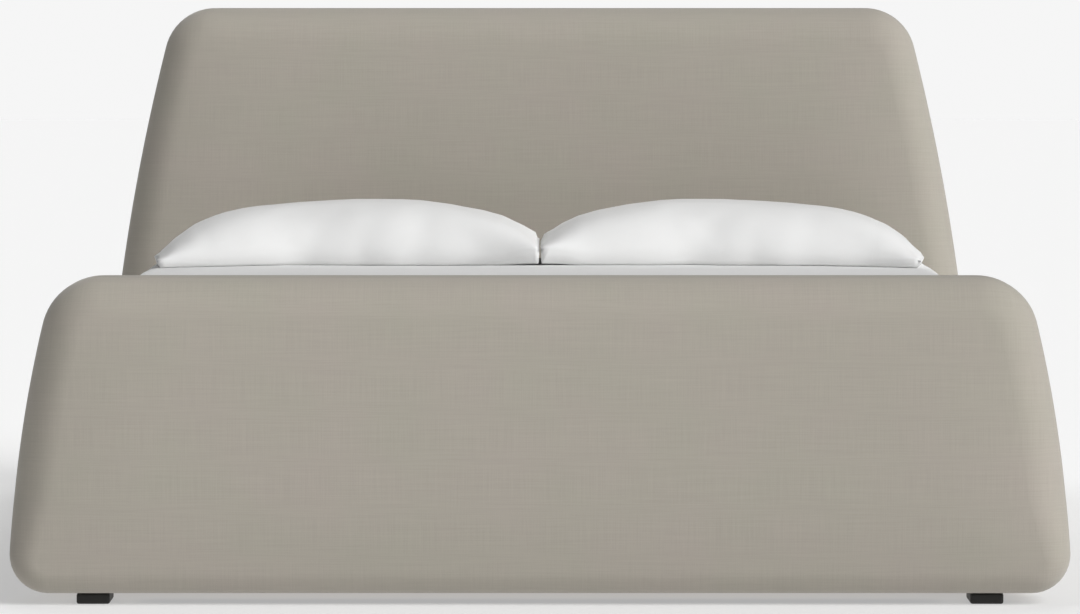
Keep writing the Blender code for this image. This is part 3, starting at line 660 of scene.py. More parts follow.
class BED_PG_studio(bpy.types.PropertyGroup):
    """Camera, lights and floor."""

    eye_height: length("Eye height", "Height of the camera above the floor", 0.98)
    eye_distance: length("Eye distance", "From the middle of the footboard to the camera", 10.10)
    lens: number("Lens", "Focal length", 207.0, unit="CAMERA")
    tilt: angle("Tilt", "How far the camera looks down", 2.83)
    sky: number("Room light", "Strength of the even room light", 0.05)
    key: number("Key light", "Strength of the soft key light", 2.88)
    overhead: number("Overhead light", "Strength of the light above", 0.5)
    key_spread: angle("Key spread", "How wide the key light appears", 40.0)
    overhead_spread: angle("Overhead spread", "How wide the light above appears", 80.0)
    key_place: FloatVectorProperty(name="Key place", description="Direction to the key light",
                                   default=(0.642, -0.493, 0.587), subtype="DIRECTION")
    backdrop: number("Backdrop", "Brightness of the far backdrop", 0.92)
    floor: colour_of("Floor", (0.45, 0.45, 0.449))
    glow: number("Floor glow", "Light the floor itself gives off", 0.58)


def middle_of(node):
    """Lowest and highest corner, centre and half size of a CAD node."""
    low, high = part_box(node)
    return low, high, (low + high) / 2, (high - low) / 2


GROUPS = {
    "bed_boards": BED_PG_boards,
    "bed_rails": BED_PG_rails,
    "bed_bedding": BED_PG_bedding,
    "bed_finishes": BED_PG_finishes,
    "bed_studio": BED_PG_studio,
}


# ------------------------------------------------------------------ the boards


def board_sizes(name):
    """Sizes of one board, as the inputs of the board tree."""
    boards = bpy.context.scene.bed_boards
    _, _, foot, _ = middle_of(f"{name}_left_foot")
    lean, radius, centre = (
        getattr(boards, f"{name}_{label}") for label in ("lean", "radius", "centre")
    )
    return {
        "Half Width": boards.half_width,
        "Underside": boards.underside,
        "Height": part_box(f"{name}_cover")[1].z,
        "Thickness": boards.thickness,
        "Rounding": boards.rounding,
        "Low Rounding": boards.low_rounding,
        "Rounding Rise": boards.rounding_rise,
        "Bottom Corner": boards.bottom_corner,
        "Top Corner": boards.top_corner,
        "Side Radius": radius,
        "Side Centre": centre,
        "Middle": foot.y,
        "Slope": BOARDS[name] * math.tan(lean),
        "Near Fullness": boards.fullness,
        "Far Fullness": boards.far_fullness,
        "Near Clear": NEAR_CLEAR[name],
        "Far Clear": FAR_CLEAR,
        "Padding": boards.padding,
        "Seam Side": 1.0,
        "Seam Inset": boards.seam_inset,
        "Groove": boards.groove,
        "Columns": 210,
    }


def outline_arcs(m, size):
    """The three arcs of a board's outline as (radius, angle where it ends), and its flats."""
    low_x = size["Half Width"] - size["Bottom Corner"]
    low_z = size["Underside"] + size["Bottom Corner"] - size["Side Centre"]
    high_z = size["Height"] - size["Top Corner"] - size["Side Centre"]
    low_reach = size["Side Radius"] - size["Bottom Corner"]
    high_reach = size["Side Radius"] - size["Top Corner"]
    low_run = m.sqrt(low_reach * low_reach - low_z * low_z)
    high_run = m.sqrt(high_reach * high_reach - high_z * high_z)
    arcs = [
        (size["Bottom Corner"], m.atan2(low_z, low_run)),
        (size["Side Radius"], m.atan2(high_z, high_run)),
        (size["Top Corner"], math.pi / 2),
    ]
    return arcs, low_x, low_x - low_run + high_run


def outline_length(m, size):
    """Length of the right half of a board's outline."""
    arcs, low_flat, high_flat = outline_arcs(m, size)
    total, angle = low_flat + high_flat, -math.pi / 2
    for radius, stop in arcs:
        total = total + radius * (stop - angle)
        angle = stop
    return total


def outline_at(m, along, size):
    """Point and outward direction on the right half of a board's outline.

    The length along it starts at the middle of the underside and ends at the middle of the top.
    """
    arcs, low_flat, high_flat = outline_arcs(m, size)
    x, z = m.within(along, low_flat), size["Underside"]
    gone, angle, turned = low_flat, -math.pi / 2, -math.pi / 2
    for radius, stop in arcs:
        span = radius * (stop - angle)
        bend = m.within(along - gone, span) / radius
        x = x + radius * (m.cos(angle + bend) - m.cos(angle))
        z = z + radius * (m.sin(angle + bend) - m.sin(angle))
        turned = turned + bend
        gone, angle = gone + span, stop
    x = x - m.within(along - gone, high_flat)
    return x, z, m.cos(turned), m.sin(turned)


def rounding_at(m, z, size):
    """Radius of the edge rounding at a height: small at the underside, full above."""
    rise = m.within(z - size["Underside"], size["Rounding Rise"]) / size["Rounding Rise"]
    return size["Low Rounding"] + (size["Rounding"] - size["Low Rounding"]) * rise


# Heights below which a face lies flat: the headboard's near one where the bedding meets it, and
# both boards' far ones. Swelling comes in over a rise of this length above them.
NEAR_CLEAR = {"headboard": 0.32, "footboard": -1.0}
FAR_CLEAR, CLEAR_RISE = 0.20, 0.18
# Rings of a cover's grid in each half of it, from its edge to the middle of its face.
FACE_RINGS, ROUND_RINGS, EDGE_RINGS, SEAM_RINGS = 16, 10, 4, 12


def swelling(m, x, z, size):
    """Share of a face's fullness at a point, which grows with its distance from each edge."""
    _, low_x, _ = outline_arcs(m, size)
    low_z = size["Underside"] + size["Bottom Corner"] - size["Side Centre"]
    reach = size["Side Radius"] - size["Bottom Corner"]
    centre_x = low_x - m.sqrt(reach * reach - low_z * low_z)
    up = z - size["Side Centre"]
    edge_x = centre_x + m.sqrt(size["Side Radius"] * size["Side Radius"] - up * up)
    share = 1.0
    for gap in (edge_x - abs(x), z - size["Underside"], size["Height"] - z):
        grown = (m.within(gap, 10.0) / size["Padding"]) ** 1.5
        share = share * (1 - m.exp(grown * -1.0))
    return share


def board_tree():
    """A board's cover as one grid: columns go round its outline, rings from face to face."""
    nodes, size = geometry_tree("upholstered board", board_sizes("headboard"))
    columns = size["Columns"]
    rings = 2 * (FACE_RINGS + ROUND_RINGS + SEAM_RINGS) + EDGE_RINGS
    grid = nodes.out("GeometryNodeMeshGrid", None, {
        "Size X": columns * 2.0, "Size Y": float(rings),
        "Vertices X": columns * 2.0 + 1.0, "Vertices Y": rings + 1,
    })
    across, down, _ = nodes.axes(nodes.out("GeometryNodeInputPosition"))
    along = abs(across) / columns * outline_length(nodes, size)
    mirror = nodes.math("SIGN", across + 0.001)
    x, z, out_x, out_z = outline_at(nodes, along, size)
    radius = rounding_at(nodes, z, size)

    place = abs(down)
    side = nodes.math("SIGN", down + 0.001)
    edge = EDGE_RINGS / 2
    thick = nodes.share(place / edge)
    turn = nodes.share((place - edge) / ROUND_RINGS) * (math.pi / 2)
    seam_ring = nodes.within(place - edge - ROUND_RINGS, float(SEAM_RINGS))
    centre = nodes.share((place - edge - ROUND_RINGS - SEAM_RINGS) / FACE_RINGS)

    strip = size["Thickness"] / 2 - radius
    seam_step = size["Seam Inset"] * (2.0 / SEAM_RINGS)
    inset = radius * (1 - nodes.cos(turn)) + seam_ring * seam_step
    depth = strip * thick + radius * nodes.sin(turn)
    flat = radius * (turn + (1 - math.pi / 2)) + seam_ring * seam_step - strip * (1 - thick)
    middle_z = (size["Underside"] + size["Height"]) / 2
    face_x = (x - inset * out_x) * (1 - centre)
    face_z = (z - inset * out_z) * (1 - centre) + middle_z * centre
    flat_x = (x - flat * out_x) * (1 - centre)
    flat_z = (z - flat * out_z) * (1 - centre) + middle_z * centre

    far = nodes.math("COMPARE", side, 1.0, 0.5)
    full = size["Near Fullness"] + (size["Far Fullness"] - size["Near Fullness"]) * far
    clear = size["Near Clear"] + (size["Far Clear"] - size["Near Clear"]) * far
    above = nodes.share((face_z - clear) / CLEAR_RISE)
    above = above * above * (3 - 2 * above)
    depth = depth + full * swelling(nodes, face_x, face_z, size) * above
    near_seam = (seam_ring - SEAM_RINGS / 2) / 1.2
    groove = nodes.exp(near_seam * near_seam * -1.0)
    on_seam_side = nodes.math("COMPARE", side, size["Seam Side"], 0.5)
    depth = depth - groove * size["Groove"] * on_seam_side

    world_y = size["Middle"] + side * depth + size["Slope"] * (face_z - size["Underside"])
    low_flat = size["Half Width"] - size["Bottom Corner"]
    over_mouth = nodes.math("LESS_THAN", along, low_flat - 0.15)
    in_mouth = over_mouth * nodes.math("LESS_THAN", place, edge / 2)
    opened = nodes.out("GeometryNodeDeleteGeometry", {"domain": "FACE"}, {
        "Geometry": grid, "Selection": in_mouth,
    })
    kept = nodes.out("GeometryNodeStoreNamedAttribute", {"data_type": "FLOAT_VECTOR"}, {
        "Geometry": opened, "Name": "weave", "Value": nodes.vector(flat_x * mirror, flat_z, side),
    })
    placed = nodes.out("GeometryNodeSetPosition", None, {
        "Geometry": kept, "Position": nodes.vector(face_x * mirror, world_y, face_z),
    })
    merged = nodes.out("GeometryNodeMergeByDistance", None, {
        "Geometry": placed, "Distance": 0.00002,
    })
    smooth = nodes.out("GeometryNodeSetShadeSmooth", None, {"Geometry": merged})
    return end_tree(nodes, smooth, size["Finish"])


def stitch_tree():
    """Small thread stitches at even steps along the edges of a mesh."""
    nodes, size = geometry_tree("stitches", {"Line": None, **BOARD_STITCH})
    curve = nodes.out("GeometryNodeMeshToCurve", None, {"Mesh": size["Line"]})
    steps = nodes.node("GeometryNodeCurveToPoints", {"mode": "LENGTH"}, {
        "Curve": curve, "Length": size["Pitch"],
    })
    bead = nodes.out("GeometryNodeMeshUVSphere", None, {
        "Segments": 6, "Rings": 4, "Radius": size["Radius"],
    })
    stretch = size["Length"] / size["Radius"] / 2
    thread = nodes.out("GeometryNodeTransform", None, {
        "Geometry": bead, "Scale": nodes.vector(1.0, 1.0, stretch),
    })
    placed = nodes.out("GeometryNodeInstanceOnPoints", None, {
        "Points": Wire(nodes, steps.outputs["Points"]), "Instance": thread,
        "Rotation": Wire(nodes, steps.outputs["Rotation"]),
    })
    return end_tree(nodes, placed, size["Finish"])


def line_mesh(name, lines):
    """A mesh of edges along each row of points."""
    points, edges = [], []
    for line in lines:
        start = len(points)
        points.extend(np.asarray(line).tolist())
        edges.extend((start + k, start + k + 1) for k in range(len(line) - 1))
    mesh = bpy.data.meshes.new(name)
    mesh.from_pydata(points, edges, [])
    return mesh


def board_seams(name):
    """The two stitch lines beside the seam of a board's far panel."""
    boards = bpy.context.scene.bed_boards
    size = board_sizes(name)
    m = Numbers
    lines = []
    for offset in (-STITCH_OFFSET, STITCH_OFFSET):
        along = np.linspace(0.0, outline_length(m, size), 260)
        x, z, out_x, out_z = outline_at(m, along, size)
        inset = rounding_at(m, z, size) + boards.seam_inset + offset
        px, pz = x - inset * out_x, z - inset * out_z
        above = smooth_step(pz, FAR_CLEAR, FAR_CLEAR + CLEAR_RISE)
        full = boards.far_fullness * swelling(m, px, pz, size) * above
        y = size["Middle"] + size["Thickness"] / 2 + size["Slope"] * (pz - size["Underside"])
        half = np.stack([px, y + full + STITCH_LIFT, pz], axis=1)
        lines.append(np.concatenate([half, (half * (-1, 1, 1))[::-1]]))
    return line_mesh(f"{name} seam line", lines)


# ------------------------------------------------------------------ the side rails


def board_reach(name, x, z):
    """World Y of the mattress-side face of a board at points (x, z), rounding included."""
    size = board_sizes(name)
    m = Numbers
    along = np.linspace(0.0, outline_length(m, size), 4000)
    edge_x, edge_z, _, _ = outline_at(m, along, size)
    gaps = np.hypot(edge_x[None] - np.abs(x)[:, None], edge_z[None] - z[:, None])
    distance = gaps.min(axis=1)
    radius = rounding_at(m, edge_z[gaps.argmin(axis=1)], size)
    short = np.maximum(radius - distance, 0.0)
    depth = size["Thickness"] / 2 - radius + np.sqrt(radius**2 - short**2)
    return size["Middle"] - BOARDS[name] * depth + size["Slope"] * (z - size["Underside"])


def arc(centre, radius, start, stop, count):
    """Points of an arc from one angle to another, in degrees."""
    angle = np.radians(np.linspace(start, stop, count))
    return [(centre[0] + radius * math.cos(a), centre[1] + radius * math.sin(a)) for a in angle]


def denser(points, pitch):
    """The same path with no step longer than a pitch."""
    path = [points[0]]
    for a, b in zip(points, points[1:]):
        count = max(1, math.ceil(math.dist(a, b) / pitch))
        path += [tuple(np.add(a, np.subtract(b, a) * k / count)) for k in range(1, count + 1)]
    return np.array(path)


def rail_profile():
    """Section of a rail's cover as (x, z), from its inner staple line over the top."""
    rails = bpy.context.scene.bed_rails
    low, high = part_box("right_rail_cover")
    top, outer, inner = rails.top_rounding, rails.outer_corner, rails.inner_corner
    points = [(low.x + rails.staple_gap_low, low.z)]
    points += arc((low.x + inner, low.z + inner), inner, 270, 180, 6)
    points += arc((low.x + top, high.z - top), top, 180, 90, 14)
    points += arc((high.x - top, high.z - top), top, 90, 0, 14)
    points += arc((high.x - outer, low.z + outer), outer, 0, -90, 10)
    points.append((low.x + rails.staple_gap_high, low.z))
    return denser(points, 0.012)


def rail_cover(side, finish):
    """A rail's cover: the section swept between the two boards and fitted to their faces."""
    rails = bpy.context.scene.bed_rails
    profile = rail_profile()
    steps = np.concatenate([[0], np.cumsum(np.linalg.norm(np.diff(profile, axis=0), axis=1))])
    x, z = profile.T
    start = board_reach("footboard", x, z) + rails.end_gap
    stop = board_reach("headboard", x, z) - rails.end_gap
    share = np.linspace(0, 1, 120)
    share = share - np.sin(2 * math.pi * share) / (2 * math.pi) * 0.75
    y = start[None] + (stop - start)[None] * share[:, None]
    rows, columns = y.shape
    grid = np.stack([np.broadcast_to(x, y.shape), y, np.broadcast_to(z, y.shape)], axis=-1)
    outer = smooth_step(grid[..., 0], x.max() - 0.003, x.max())
    belly = np.sin((grid[..., 2] - z.min()) / np.ptp(z) * math.pi)
    swell = np.sin(math.pi * share)[:, None] ** 0.3
    grid[..., 0] += outer * belly * rails.fullness * swell
    weave = np.stack([np.broadcast_to(steps, y.shape), y, np.zeros_like(y)], axis=-1)
    name = f"{side}_rail_upholstery"
    points = grid.reshape(-1, 3) * (SIDES[side], 1, 1)
    faces = grid_faces(columns, rows)
    if SIDES[side] < 0:
        faces = faces[:, ::-1]
    mesh = mesh_from(name, points, faces, finish, weave.reshape(-1, 3))
    return thicken(new_object(name, mesh), bpy.context.scene.bed_boards.cloth)


# ------------------------------------------------------------------ the bedding


def mattress_top(x, y):
    """Height of the crowned top of the mattress."""
    _, high, centre, half = middle_of("mattress")
    u = np.clip(np.abs(x - centre.x) / (half.x - 0.02), 0, 1)
    v = np.clip(np.abs(y - centre.y) / (half.y - 0.02), 0, 1)
    return high.z + bpy.context.scene.bed_bedding.crown * (1 - u**4) * (1 - v**4)


def rounded_levels(low, high, edge, steps):
    """(height, inset) over a rounded edge from its foot at one height to its end at another."""
    turns = np.linspace(0, math.pi / 2, steps)
    rise = high - low
    return [(low + rise * math.sin(t), edge * (1 - math.cos(t))) for t in turns]


def stacked_loops(levels, half_x, half_y, corner, counts):
    """A rounded rectangle at each (height, inset), from the lowest to the highest."""
    loops = []
    for z, inset in levels:
        flat = rounded_loop(half_x - inset, half_y - inset, corner - inset * 0.6, *counts)
        loops.append(np.column_stack([flat, np.full(len(flat), z)]))
    return loops


def unrolled(points, edge_x, edge_y, top):
    """Where points on a sheet's top and sides lie when it is spread flat."""
    drop = np.maximum(top - points[:, 2], 0)
    flat = points[:, :2].copy()
    over_x = np.abs(flat[:, 0]) / edge_x > np.abs(flat[:, 1]) / edge_y
    flat[:, 0] += np.where(over_x, np.sign(flat[:, 0]) * drop, 0)
    flat[:, 1] += np.where(over_x, 0, np.sign(flat[:, 1]) * drop)
    return np.column_stack([flat, np.zeros(len(flat))])


def mattress_body(finish):
    """The mattress: a crowned body with rounded edges."""
    bedding = bpy.context.scene.bed_bedding
    low, high, centre, half = middle_of("mattress")
    edge = bedding.edge
    levels = rounded_levels(low.z + edge, low.z, edge, 9)[::-1]
    levels += [(z, 0.0) for z in np.linspace(low.z + edge, high.z - edge, 14)[1:-1]]
    levels += rounded_levels(high.z - edge, high.z, edge, 9)
    counts = (90, 120)
    loops = stacked_loops(levels, half.x, half.y, bedding.corner, counts)
    points, faces = skin_of_loops(loops, *counts)
    points[:, :2] += (centre.x, centre.y)
    near_top = smooth_step(points[:, 2], high.z - bedding.edge, high.z)
    points[:, 2] += near_top * (mattress_top(points[:, 0], points[:, 1]) - high.z)
    weave = unrolled(points - (centre.x, centre.y, 0), half.x, half.y, high.z)
    return made_piece("mattress_body", points, faces, finish, weave)


def piping(finish):
    """Cord beads round the top and bottom edges of the mattress."""
    bedding = bpy.context.scene.bed_bedding
    low, high, centre, half = middle_of("mattress")
    bead, points, faces, weave = 0.0024, [], [], []
    loop = rounded_loop(half.x - 0.0002, half.y - 0.0002, bedding.corner, 120, 160)
    out = loop - np.roll(loop, 1, axis=0) + (np.roll(loop, -1, axis=0) - loop)
    out = np.stack([out[:, 1], -out[:, 0]], axis=1) / np.linalg.norm(out, axis=1)[:, None]
    count = len(loop)
    for z in (low.z + bedding.edge, high.z - bedding.edge):
        start = len(points) * count
        for k in range(8):
            a = 2 * math.pi * k / 8
            ring = loop + out * (bead * (math.cos(a) - 0.35))
            points.append(np.column_stack([ring, np.full(count, z + bead * math.sin(a))]))
            along = np.arange(count) * 0.012
            weave.append(np.stack([along, np.full(count, k * 0.002), along * 0], axis=1))
            faces.append(loop_faces(start + k * count, start + (k + 1) % 8 * count, count))
    points = np.concatenate(points) + (centre.x, centre.y, 0)
    return made_piece("mattress_piping", points, np.concatenate(faces), finish,
                      np.concatenate(weave))


def fitted_sheet(finish):
    """The sheet over the mattress, gathered into an elastic hem round its sides."""
    bedding = bpy.context.scene.bed_bedding
    low, high, centre, half = middle_of("mattress")
    room, edge = bedding.sheet_room, bedding.sheet_edge
    hem = high.z - bedding.sheet_drop
    counts = (150, 200)
    top = high.z + room
    levels = [(z, 0.0) for z in np.linspace(hem, top - edge, 14)[:-1]]
    levels += rounded_levels(top - edge, top, edge, 10)
    side_x, side_y = half.x + room, half.y + room
    loops = stacked_loops(levels, side_x, side_y, bedding.corner + room * 0.6, counts)
    points, faces = skin_of_loops(loops, *counts, close_low=False)
    weave = unrolled(points, side_x, side_y, top)

    depth = smooth_step(top - edge * 0.4 - points[:, 2], 0, bedding.sheet_drop)
    turned = np.arctan2(points[:, 1], points[:, 0])
    corner = np.exp(-((np.abs(np.abs(points[:, 0]) - side_x) + np.abs(
        np.abs(points[:, 1]) - side_y)) / 0.16) ** 2)
    round_it = np.where(np.abs(points[:, 0]) / side_x > np.abs(points[:, 1]) / side_y,
                        points[:, 1], points[:, 0]) + turned * 0.01
    sway = soft_noise(points * (1, 1, 0.15), 0.35, 5)
    fold = np.sin(2 * math.pi * round_it / 0.052 + sway * 3.0) * 0.5 + 0.5
    slack = bedding.gather * (0.35 + 0.65 * corner) * depth ** 1.5 * fold
    puckers = 0.0012 * soft_noise(points * (1, 1, 0.25), 0.07, 8) * depth ** 0.5
    outward = points[:, :2] / np.maximum(np.abs(points[:, :2] / (side_x, side_y)).max(axis=1),
                                         1e-6)[:, None]
    outward /= np.linalg.norm(outward, axis=1)[:, None]
    on_side = smooth_step(np.abs(points[:, :2] / (side_x, side_y)).max(axis=1), 0.9, 0.99)
    points[:, :2] += outward * (on_side * (slack + puckers + 0.001))[:, None]

    near_top = smooth_step(points[:, 2], top - edge, top)
    world = points + (centre.x, centre.y, 0)
    world[:, 2] += near_top * (sheet_height(world[:, 0], world[:, 1]) - high.z - room)
    mesh = mesh_from("fitted_sheet", world, faces, finish, weave)
    weld(mesh)
    obj = thicken(new_object("fitted_sheet", mesh), bedding.sheet_cloth)
    arc_gain = edge * (math.pi / 2 - 1)
    drop = bedding.sheet_drop + room
    flat = (2 * (side_x + drop + arc_gain - edge), 2 * (side_y + drop + arc_gain - edge))
    area = flat[0] * flat[1] - 4 * (drop + arc_gain - edge) ** 2
    return obj, flat, area


def sheet_height(x, y):
    """Height of the top of the sheet at (x, y)."""
    centre = middle_of("mattress")[2]
    local = np.column_stack([x - centre.x, y - centre.y, np.zeros_like(x)])
    gentle = 0.0016 + 0.0016 * soft_noise(local, 0.42, 3)
    return mattress_top(x, y) + bpy.context.scene.bed_bedding.sheet_room + gentle


def blown_pillow(width, depth):
    """Two sewn rectangles filled with air by the cloth solver: points, faces and flat places."""
    bedding = bpy.context.scene.bed_bedding
    across, along = round(width / PILLOW_STEP), round(depth / PILLOW_STEP)
    x = np.linspace(-width / 2, width / 2, across + 1)
    y = np.linspace(-depth / 2, depth / 2, along + 1)
    grid_x, grid_y = np.meshgrid(x, y)
    flat = np.stack([grid_x, grid_y], axis=-1).reshape(-1, 2)
    border = (np.abs(flat[:, 0]) > width / 2 - 1e-6) | (np.abs(flat[:, 1]) > depth / 2 - 1e-6)
    pull = 1 - 0.045 * smooth_step(np.abs(flat / (width / 2, depth / 2)).min(axis=1), 0.3, 1.0)
    rise = np.cos(flat[:, 0] / width * math.pi) * np.cos(flat[:, 1] / depth * math.pi)
    noise = soft_noise(np.column_stack([flat, flat[:, 0] * 0]), 0.16, 21)
    lift = np.maximum(rise, 0) ** 0.5 * 0.03 + np.where(border, 0, 0.001 + 0.002 * noise)
    lift = np.where(border, 0, np.maximum(lift, 0.0004))
    upper = np.column_stack([flat * pull[:, None], lift])
    lower = upper * (1, 1, -1)
    quads = grid_faces(across + 1, along + 1)
    points = np.concatenate([upper, lower])
    faces = np.concatenate([quads, quads[:, ::-1] + len(flat)])
    weave = np.column_stack([np.tile(flat, (2, 1)), np.repeat([0.0, 1.0], len(flat))])
    mesh = mesh_from("pillow", points, faces, None, weave)
    weld(mesh)
    obj = new_object("pillow", mesh)
    inflate(obj, bedding.pressure, bedding.frames)
    relax = obj.modifiers.new("relax", "SMOOTH")
    relax.factor = 0.5
    relax.iterations = 16
    settle(obj)
    even_out(obj, width, depth, bedding.evenness)
    return obj


def even_out(obj, width, depth, share):
    """Draws the filled pillow towards an even cushion, which leaves only soft folds."""
    points = vectors_of(obj.data)
    place = vectors_of(obj.data, "weave")
    u, v = place[:, 0] / width * 2, place[:, 1] / depth * 2
    full = np.clip((1 - np.abs(u) ** 2.6) * (1 - np.abs(v) ** 2.6), 0, 1) ** 0.5
    pull = 1 - 0.04 * np.clip(1 - np.minimum(u**2, v**2), 0, 1)
    even = np.column_stack([
        u * pull * np.ptp(points[:, 0]) / 2,
        v * pull * np.ptp(points[:, 1]) / 2,
        full * np.where(place[:, 2] > 0.5, -1, 1) * np.ptp(points[:, 2]) / 2,
    ])
    set_points(obj.data, points + (even - points) * share)


def inflate(obj, pressure, frames):
    """Fills a closed mesh with air by the cloth solver and keeps the result."""
    cloth = obj.modifiers.new("fill", "CLOTH")
    for setting, value in {
        "quality": 6, "mass": 0.25, "tension_stiffness": 22, "compression_stiffness": 22,
        "shear_stiffness": 8, "bending_stiffness": 0.6, "tension_damping": 12,
        "air_damping": 2.0, "use_pressure": True, "uniform_pressure_force": pressure,
    }.items():
        setattr(cloth.settings, setting, value)
    cloth.settings.effector_weights.gravity = 0
    cloth.collision_settings.use_collision = False
    cloth.collision_settings.use_self_collision = False
    cloth.point_cache.frame_start = 1
    cloth.point_cache.frame_end = frames
    scene = bpy.context.scene
    for frame_number in range(1, frames + 1):
        scene.frame_set(frame_number)
    settle(obj)
    scene.frame_set(1)


# Metres that a case is wider than its CAD pillow, that its outer corners are drawn in, and the
# height of its front edge above the mattress.
PILLOW_SPREAD, CORNER_TUCK, FRONT_HEM = 0.0024, 0.016, 0.0135


def pillow_crest(across):
    """Share of the loft reached by the pillow's outline, from its outer to its inner end."""
    places = (0.0, 0.011, 0.032, 0.054, 0.097, 0.140, 0.182, 0.223, 0.265, 0.349, 0.435, 0.52,
              0.64, 0.69, 0.77, 0.855, 0.90, 0.94, 0.98, 1.0)
    heights = (0.16, 0.20, 0.31, 0.44, 0.61, 0.73, 0.81, 0.865, 0.90, 0.945, 0.975, 1.0,
               1.0, 0.985, 0.925, 0.835, 0.75, 0.62, 0.45, 0.36)
    return np.interp(across, places, heights)


def pillow(side, flat_body, finish):
    """One pillow: the filled body fitted to its place and resting on the sheet."""
    bedding = bpy.context.scene.bed_bedding
    name = f"{side}_pillow"
    low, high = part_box(name)
    points = vectors_of(flat_body.data)
    points[:, :2] -= (points[:, :2].max(axis=0) + points[:, :2].min(axis=0)) / 2
    size = np.ptp(points, axis=0)
    inner = (points[:, 0] * -SIDES[side]) / size[0] + 0.5
    back = points[:, 1] / size[1] + 0.5

    column = np.round(vectors_of(flat_body.data, "weave")[:, 0] / PILLOW_STEP).astype(int)
    column -= column.min()
    tallest = np.zeros(column.max() + 1)
    np.maximum.at(tallest, column, points[:, 2])
    peak = tallest[column]
    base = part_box("mattress")[1].z
    crest = pillow_crest(inner) * bedding.loft
    hem = 0.023 + 0.021 * smooth_step(inner, 0.0, 1.0)
    hem += 0.010 * np.sin(math.pi * np.clip(back, 0, 1)) * np.sin(math.pi * inner)
    front = 1 - smooth_step(back, 0.0, 0.22)
    hem -= front * (hem - FRONT_HEM) * smooth_step(np.minimum(inner, 1 - inner), 0.02, 0.16)
    hem += 0.002 * soft_noise(points * (1, 1, 0), 0.2, 31 + SIDES[side])

    reach = high.x - low.x + PILLOW_SPREAD
    x = (low.x + high.x) / 2 + points[:, 0] / size[0] * reach
    y = (low.y + high.y) / 2 + points[:, 1] / size[1] * (high.y - low.y)
    corner = smooth_step(np.abs(2 * back - 1), 0.4, 1.0) * smooth_step(1 - inner, 0.5, 1.0)
    x -= SIDES[side] * CORNER_TUCK * corner
    # The inner end is drawn out straight, to half a gap from the other pillow.
    inward = -SIDES[side] * x
    tip = inner > 0.965
    beside = np.abs(y[:, None] - y[tip]) < PILLOW_STEP * 1.2
    ends = np.where(beside, inward[tip], -1.0).max(axis=1)
    shortfall = np.clip(-PILLOW_GAP - ends, 0.0, 0.02)
    x -= SIDES[side] * shortfall * smooth_step(inner, 0.84, 0.995)
    floor = sheet_height(x, y) - base + 0.0005
    hem = np.maximum(hem, floor + 0.004)
    up = points[:, 2] / np.maximum(peak, 0.012)
    # Its underside stands upright there.
    behind = -PILLOW_GAP + SIDES[side] * x
    x -= SIDES[side] * behind * 0.75 * (up < 0) * smooth_step(inner, 0.955, 0.985)
    room = np.maximum(hem - floor, 0.002)
    down = room * np.tanh(np.maximum(-up, 0) * bedding.loft / room * 0.9)
    rise = np.maximum(up, 0) * np.maximum(crest - hem, 0.002)
    creases = soft_noise(points * (1.0, 0.7, 0), 0.11, 57 + 3 * SIDES[side])
    near_hem = 1 - smooth_step(np.minimum(np.minimum(inner, 1 - inner) * 1.5,
                                          np.minimum(back, 1 - back)), 0.0, 0.3)
    rise += smooth_step(up, 0.02, 0.4) * creases * (0.0004 + 0.0016 * near_hem)
    band = (inner - 0.135) / 0.006
    rise -= smooth_step(up, 0.0, 0.2) * 0.0016 * np.exp(-band * band)
    z = base + hem + rise - down
    body = new_object(f"{name}_case", flat_body.data.copy())
    set_points(body.data, np.column_stack([x, y, z]))
    body.data.materials.clear()
    body.data.materials.append(finish)
    weld(body.data, turn_outwards=True)
    return body


def pillow_hem(body, side, finish, tree):
    """Row of stitches along the hem near the open end of a pillow case."""
    low, high = Vector(body.bound_box[0]), Vector(body.bound_box[6])
    width = high.x - low.x
    lines = []
    for inset in (0.1275, 0.1425):
        x = low.x + width * inset if SIDES[side] < 0 else high.x - width * inset
        row = []
        for y in np.linspace(low.y + 0.012, high.y - 0.012, 120):
            hit, place, normal, _ = body.ray_cast(Vector((x, y, high.z + 0.1)), Vector((0, 0, -1)))
            if hit:
                row.append(tuple(place + normal * STITCH_LIFT))
        lines.append(row)
    return grow(f"{side}_pillow_hem", tree, HEM_STITCH, finish, line_mesh("hem line", lines))


# ------------------------------------------------------------------ timber and fittings


def slat_tree(sizes):
    """Evenly spaced planks with eased edges, lying across the bed."""
    nodes, size = geometry_tree("slats", sizes)
    outline = nodes.out("GeometryNodeCurvePrimitiveQuadrilateral", None, {
        "Width": size["Width"], "Height": size["Thickness"],
    })
    eased = nodes.out("GeometryNodeFilletCurve", {"mode": "POLY"}, {
        "Curve": outline, "Count": 4, "Radius": size["Easing"],
    })
    half = size["Length"] / 2
    spine = nodes.out("GeometryNodeCurvePrimitiveLine", None, {
        "Start": nodes.vector(half * -1.0, 0.0, 0.0), "End": nodes.vector(half, 0.0, 0.0),
    })
    plank = nodes.out("GeometryNodeCurveToMesh", None, {
        "Curve": spine, "Profile Curve": eased, "Fill Caps": True,
    })
    line = nodes.out("GeometryNodeMeshLine", None, {
        "Count": size["Count"], "Start Location": nodes.vector(0.0, size["First"], size["Height"]),
        "Offset": nodes.vector(0.0, size["Pitch"], 0.0),
    })
    placed = nodes.out("GeometryNodeInstanceOnPoints", None, {"Points": line, "Instance": plank})
    return end_tree(nodes, placed, size["Finish"])


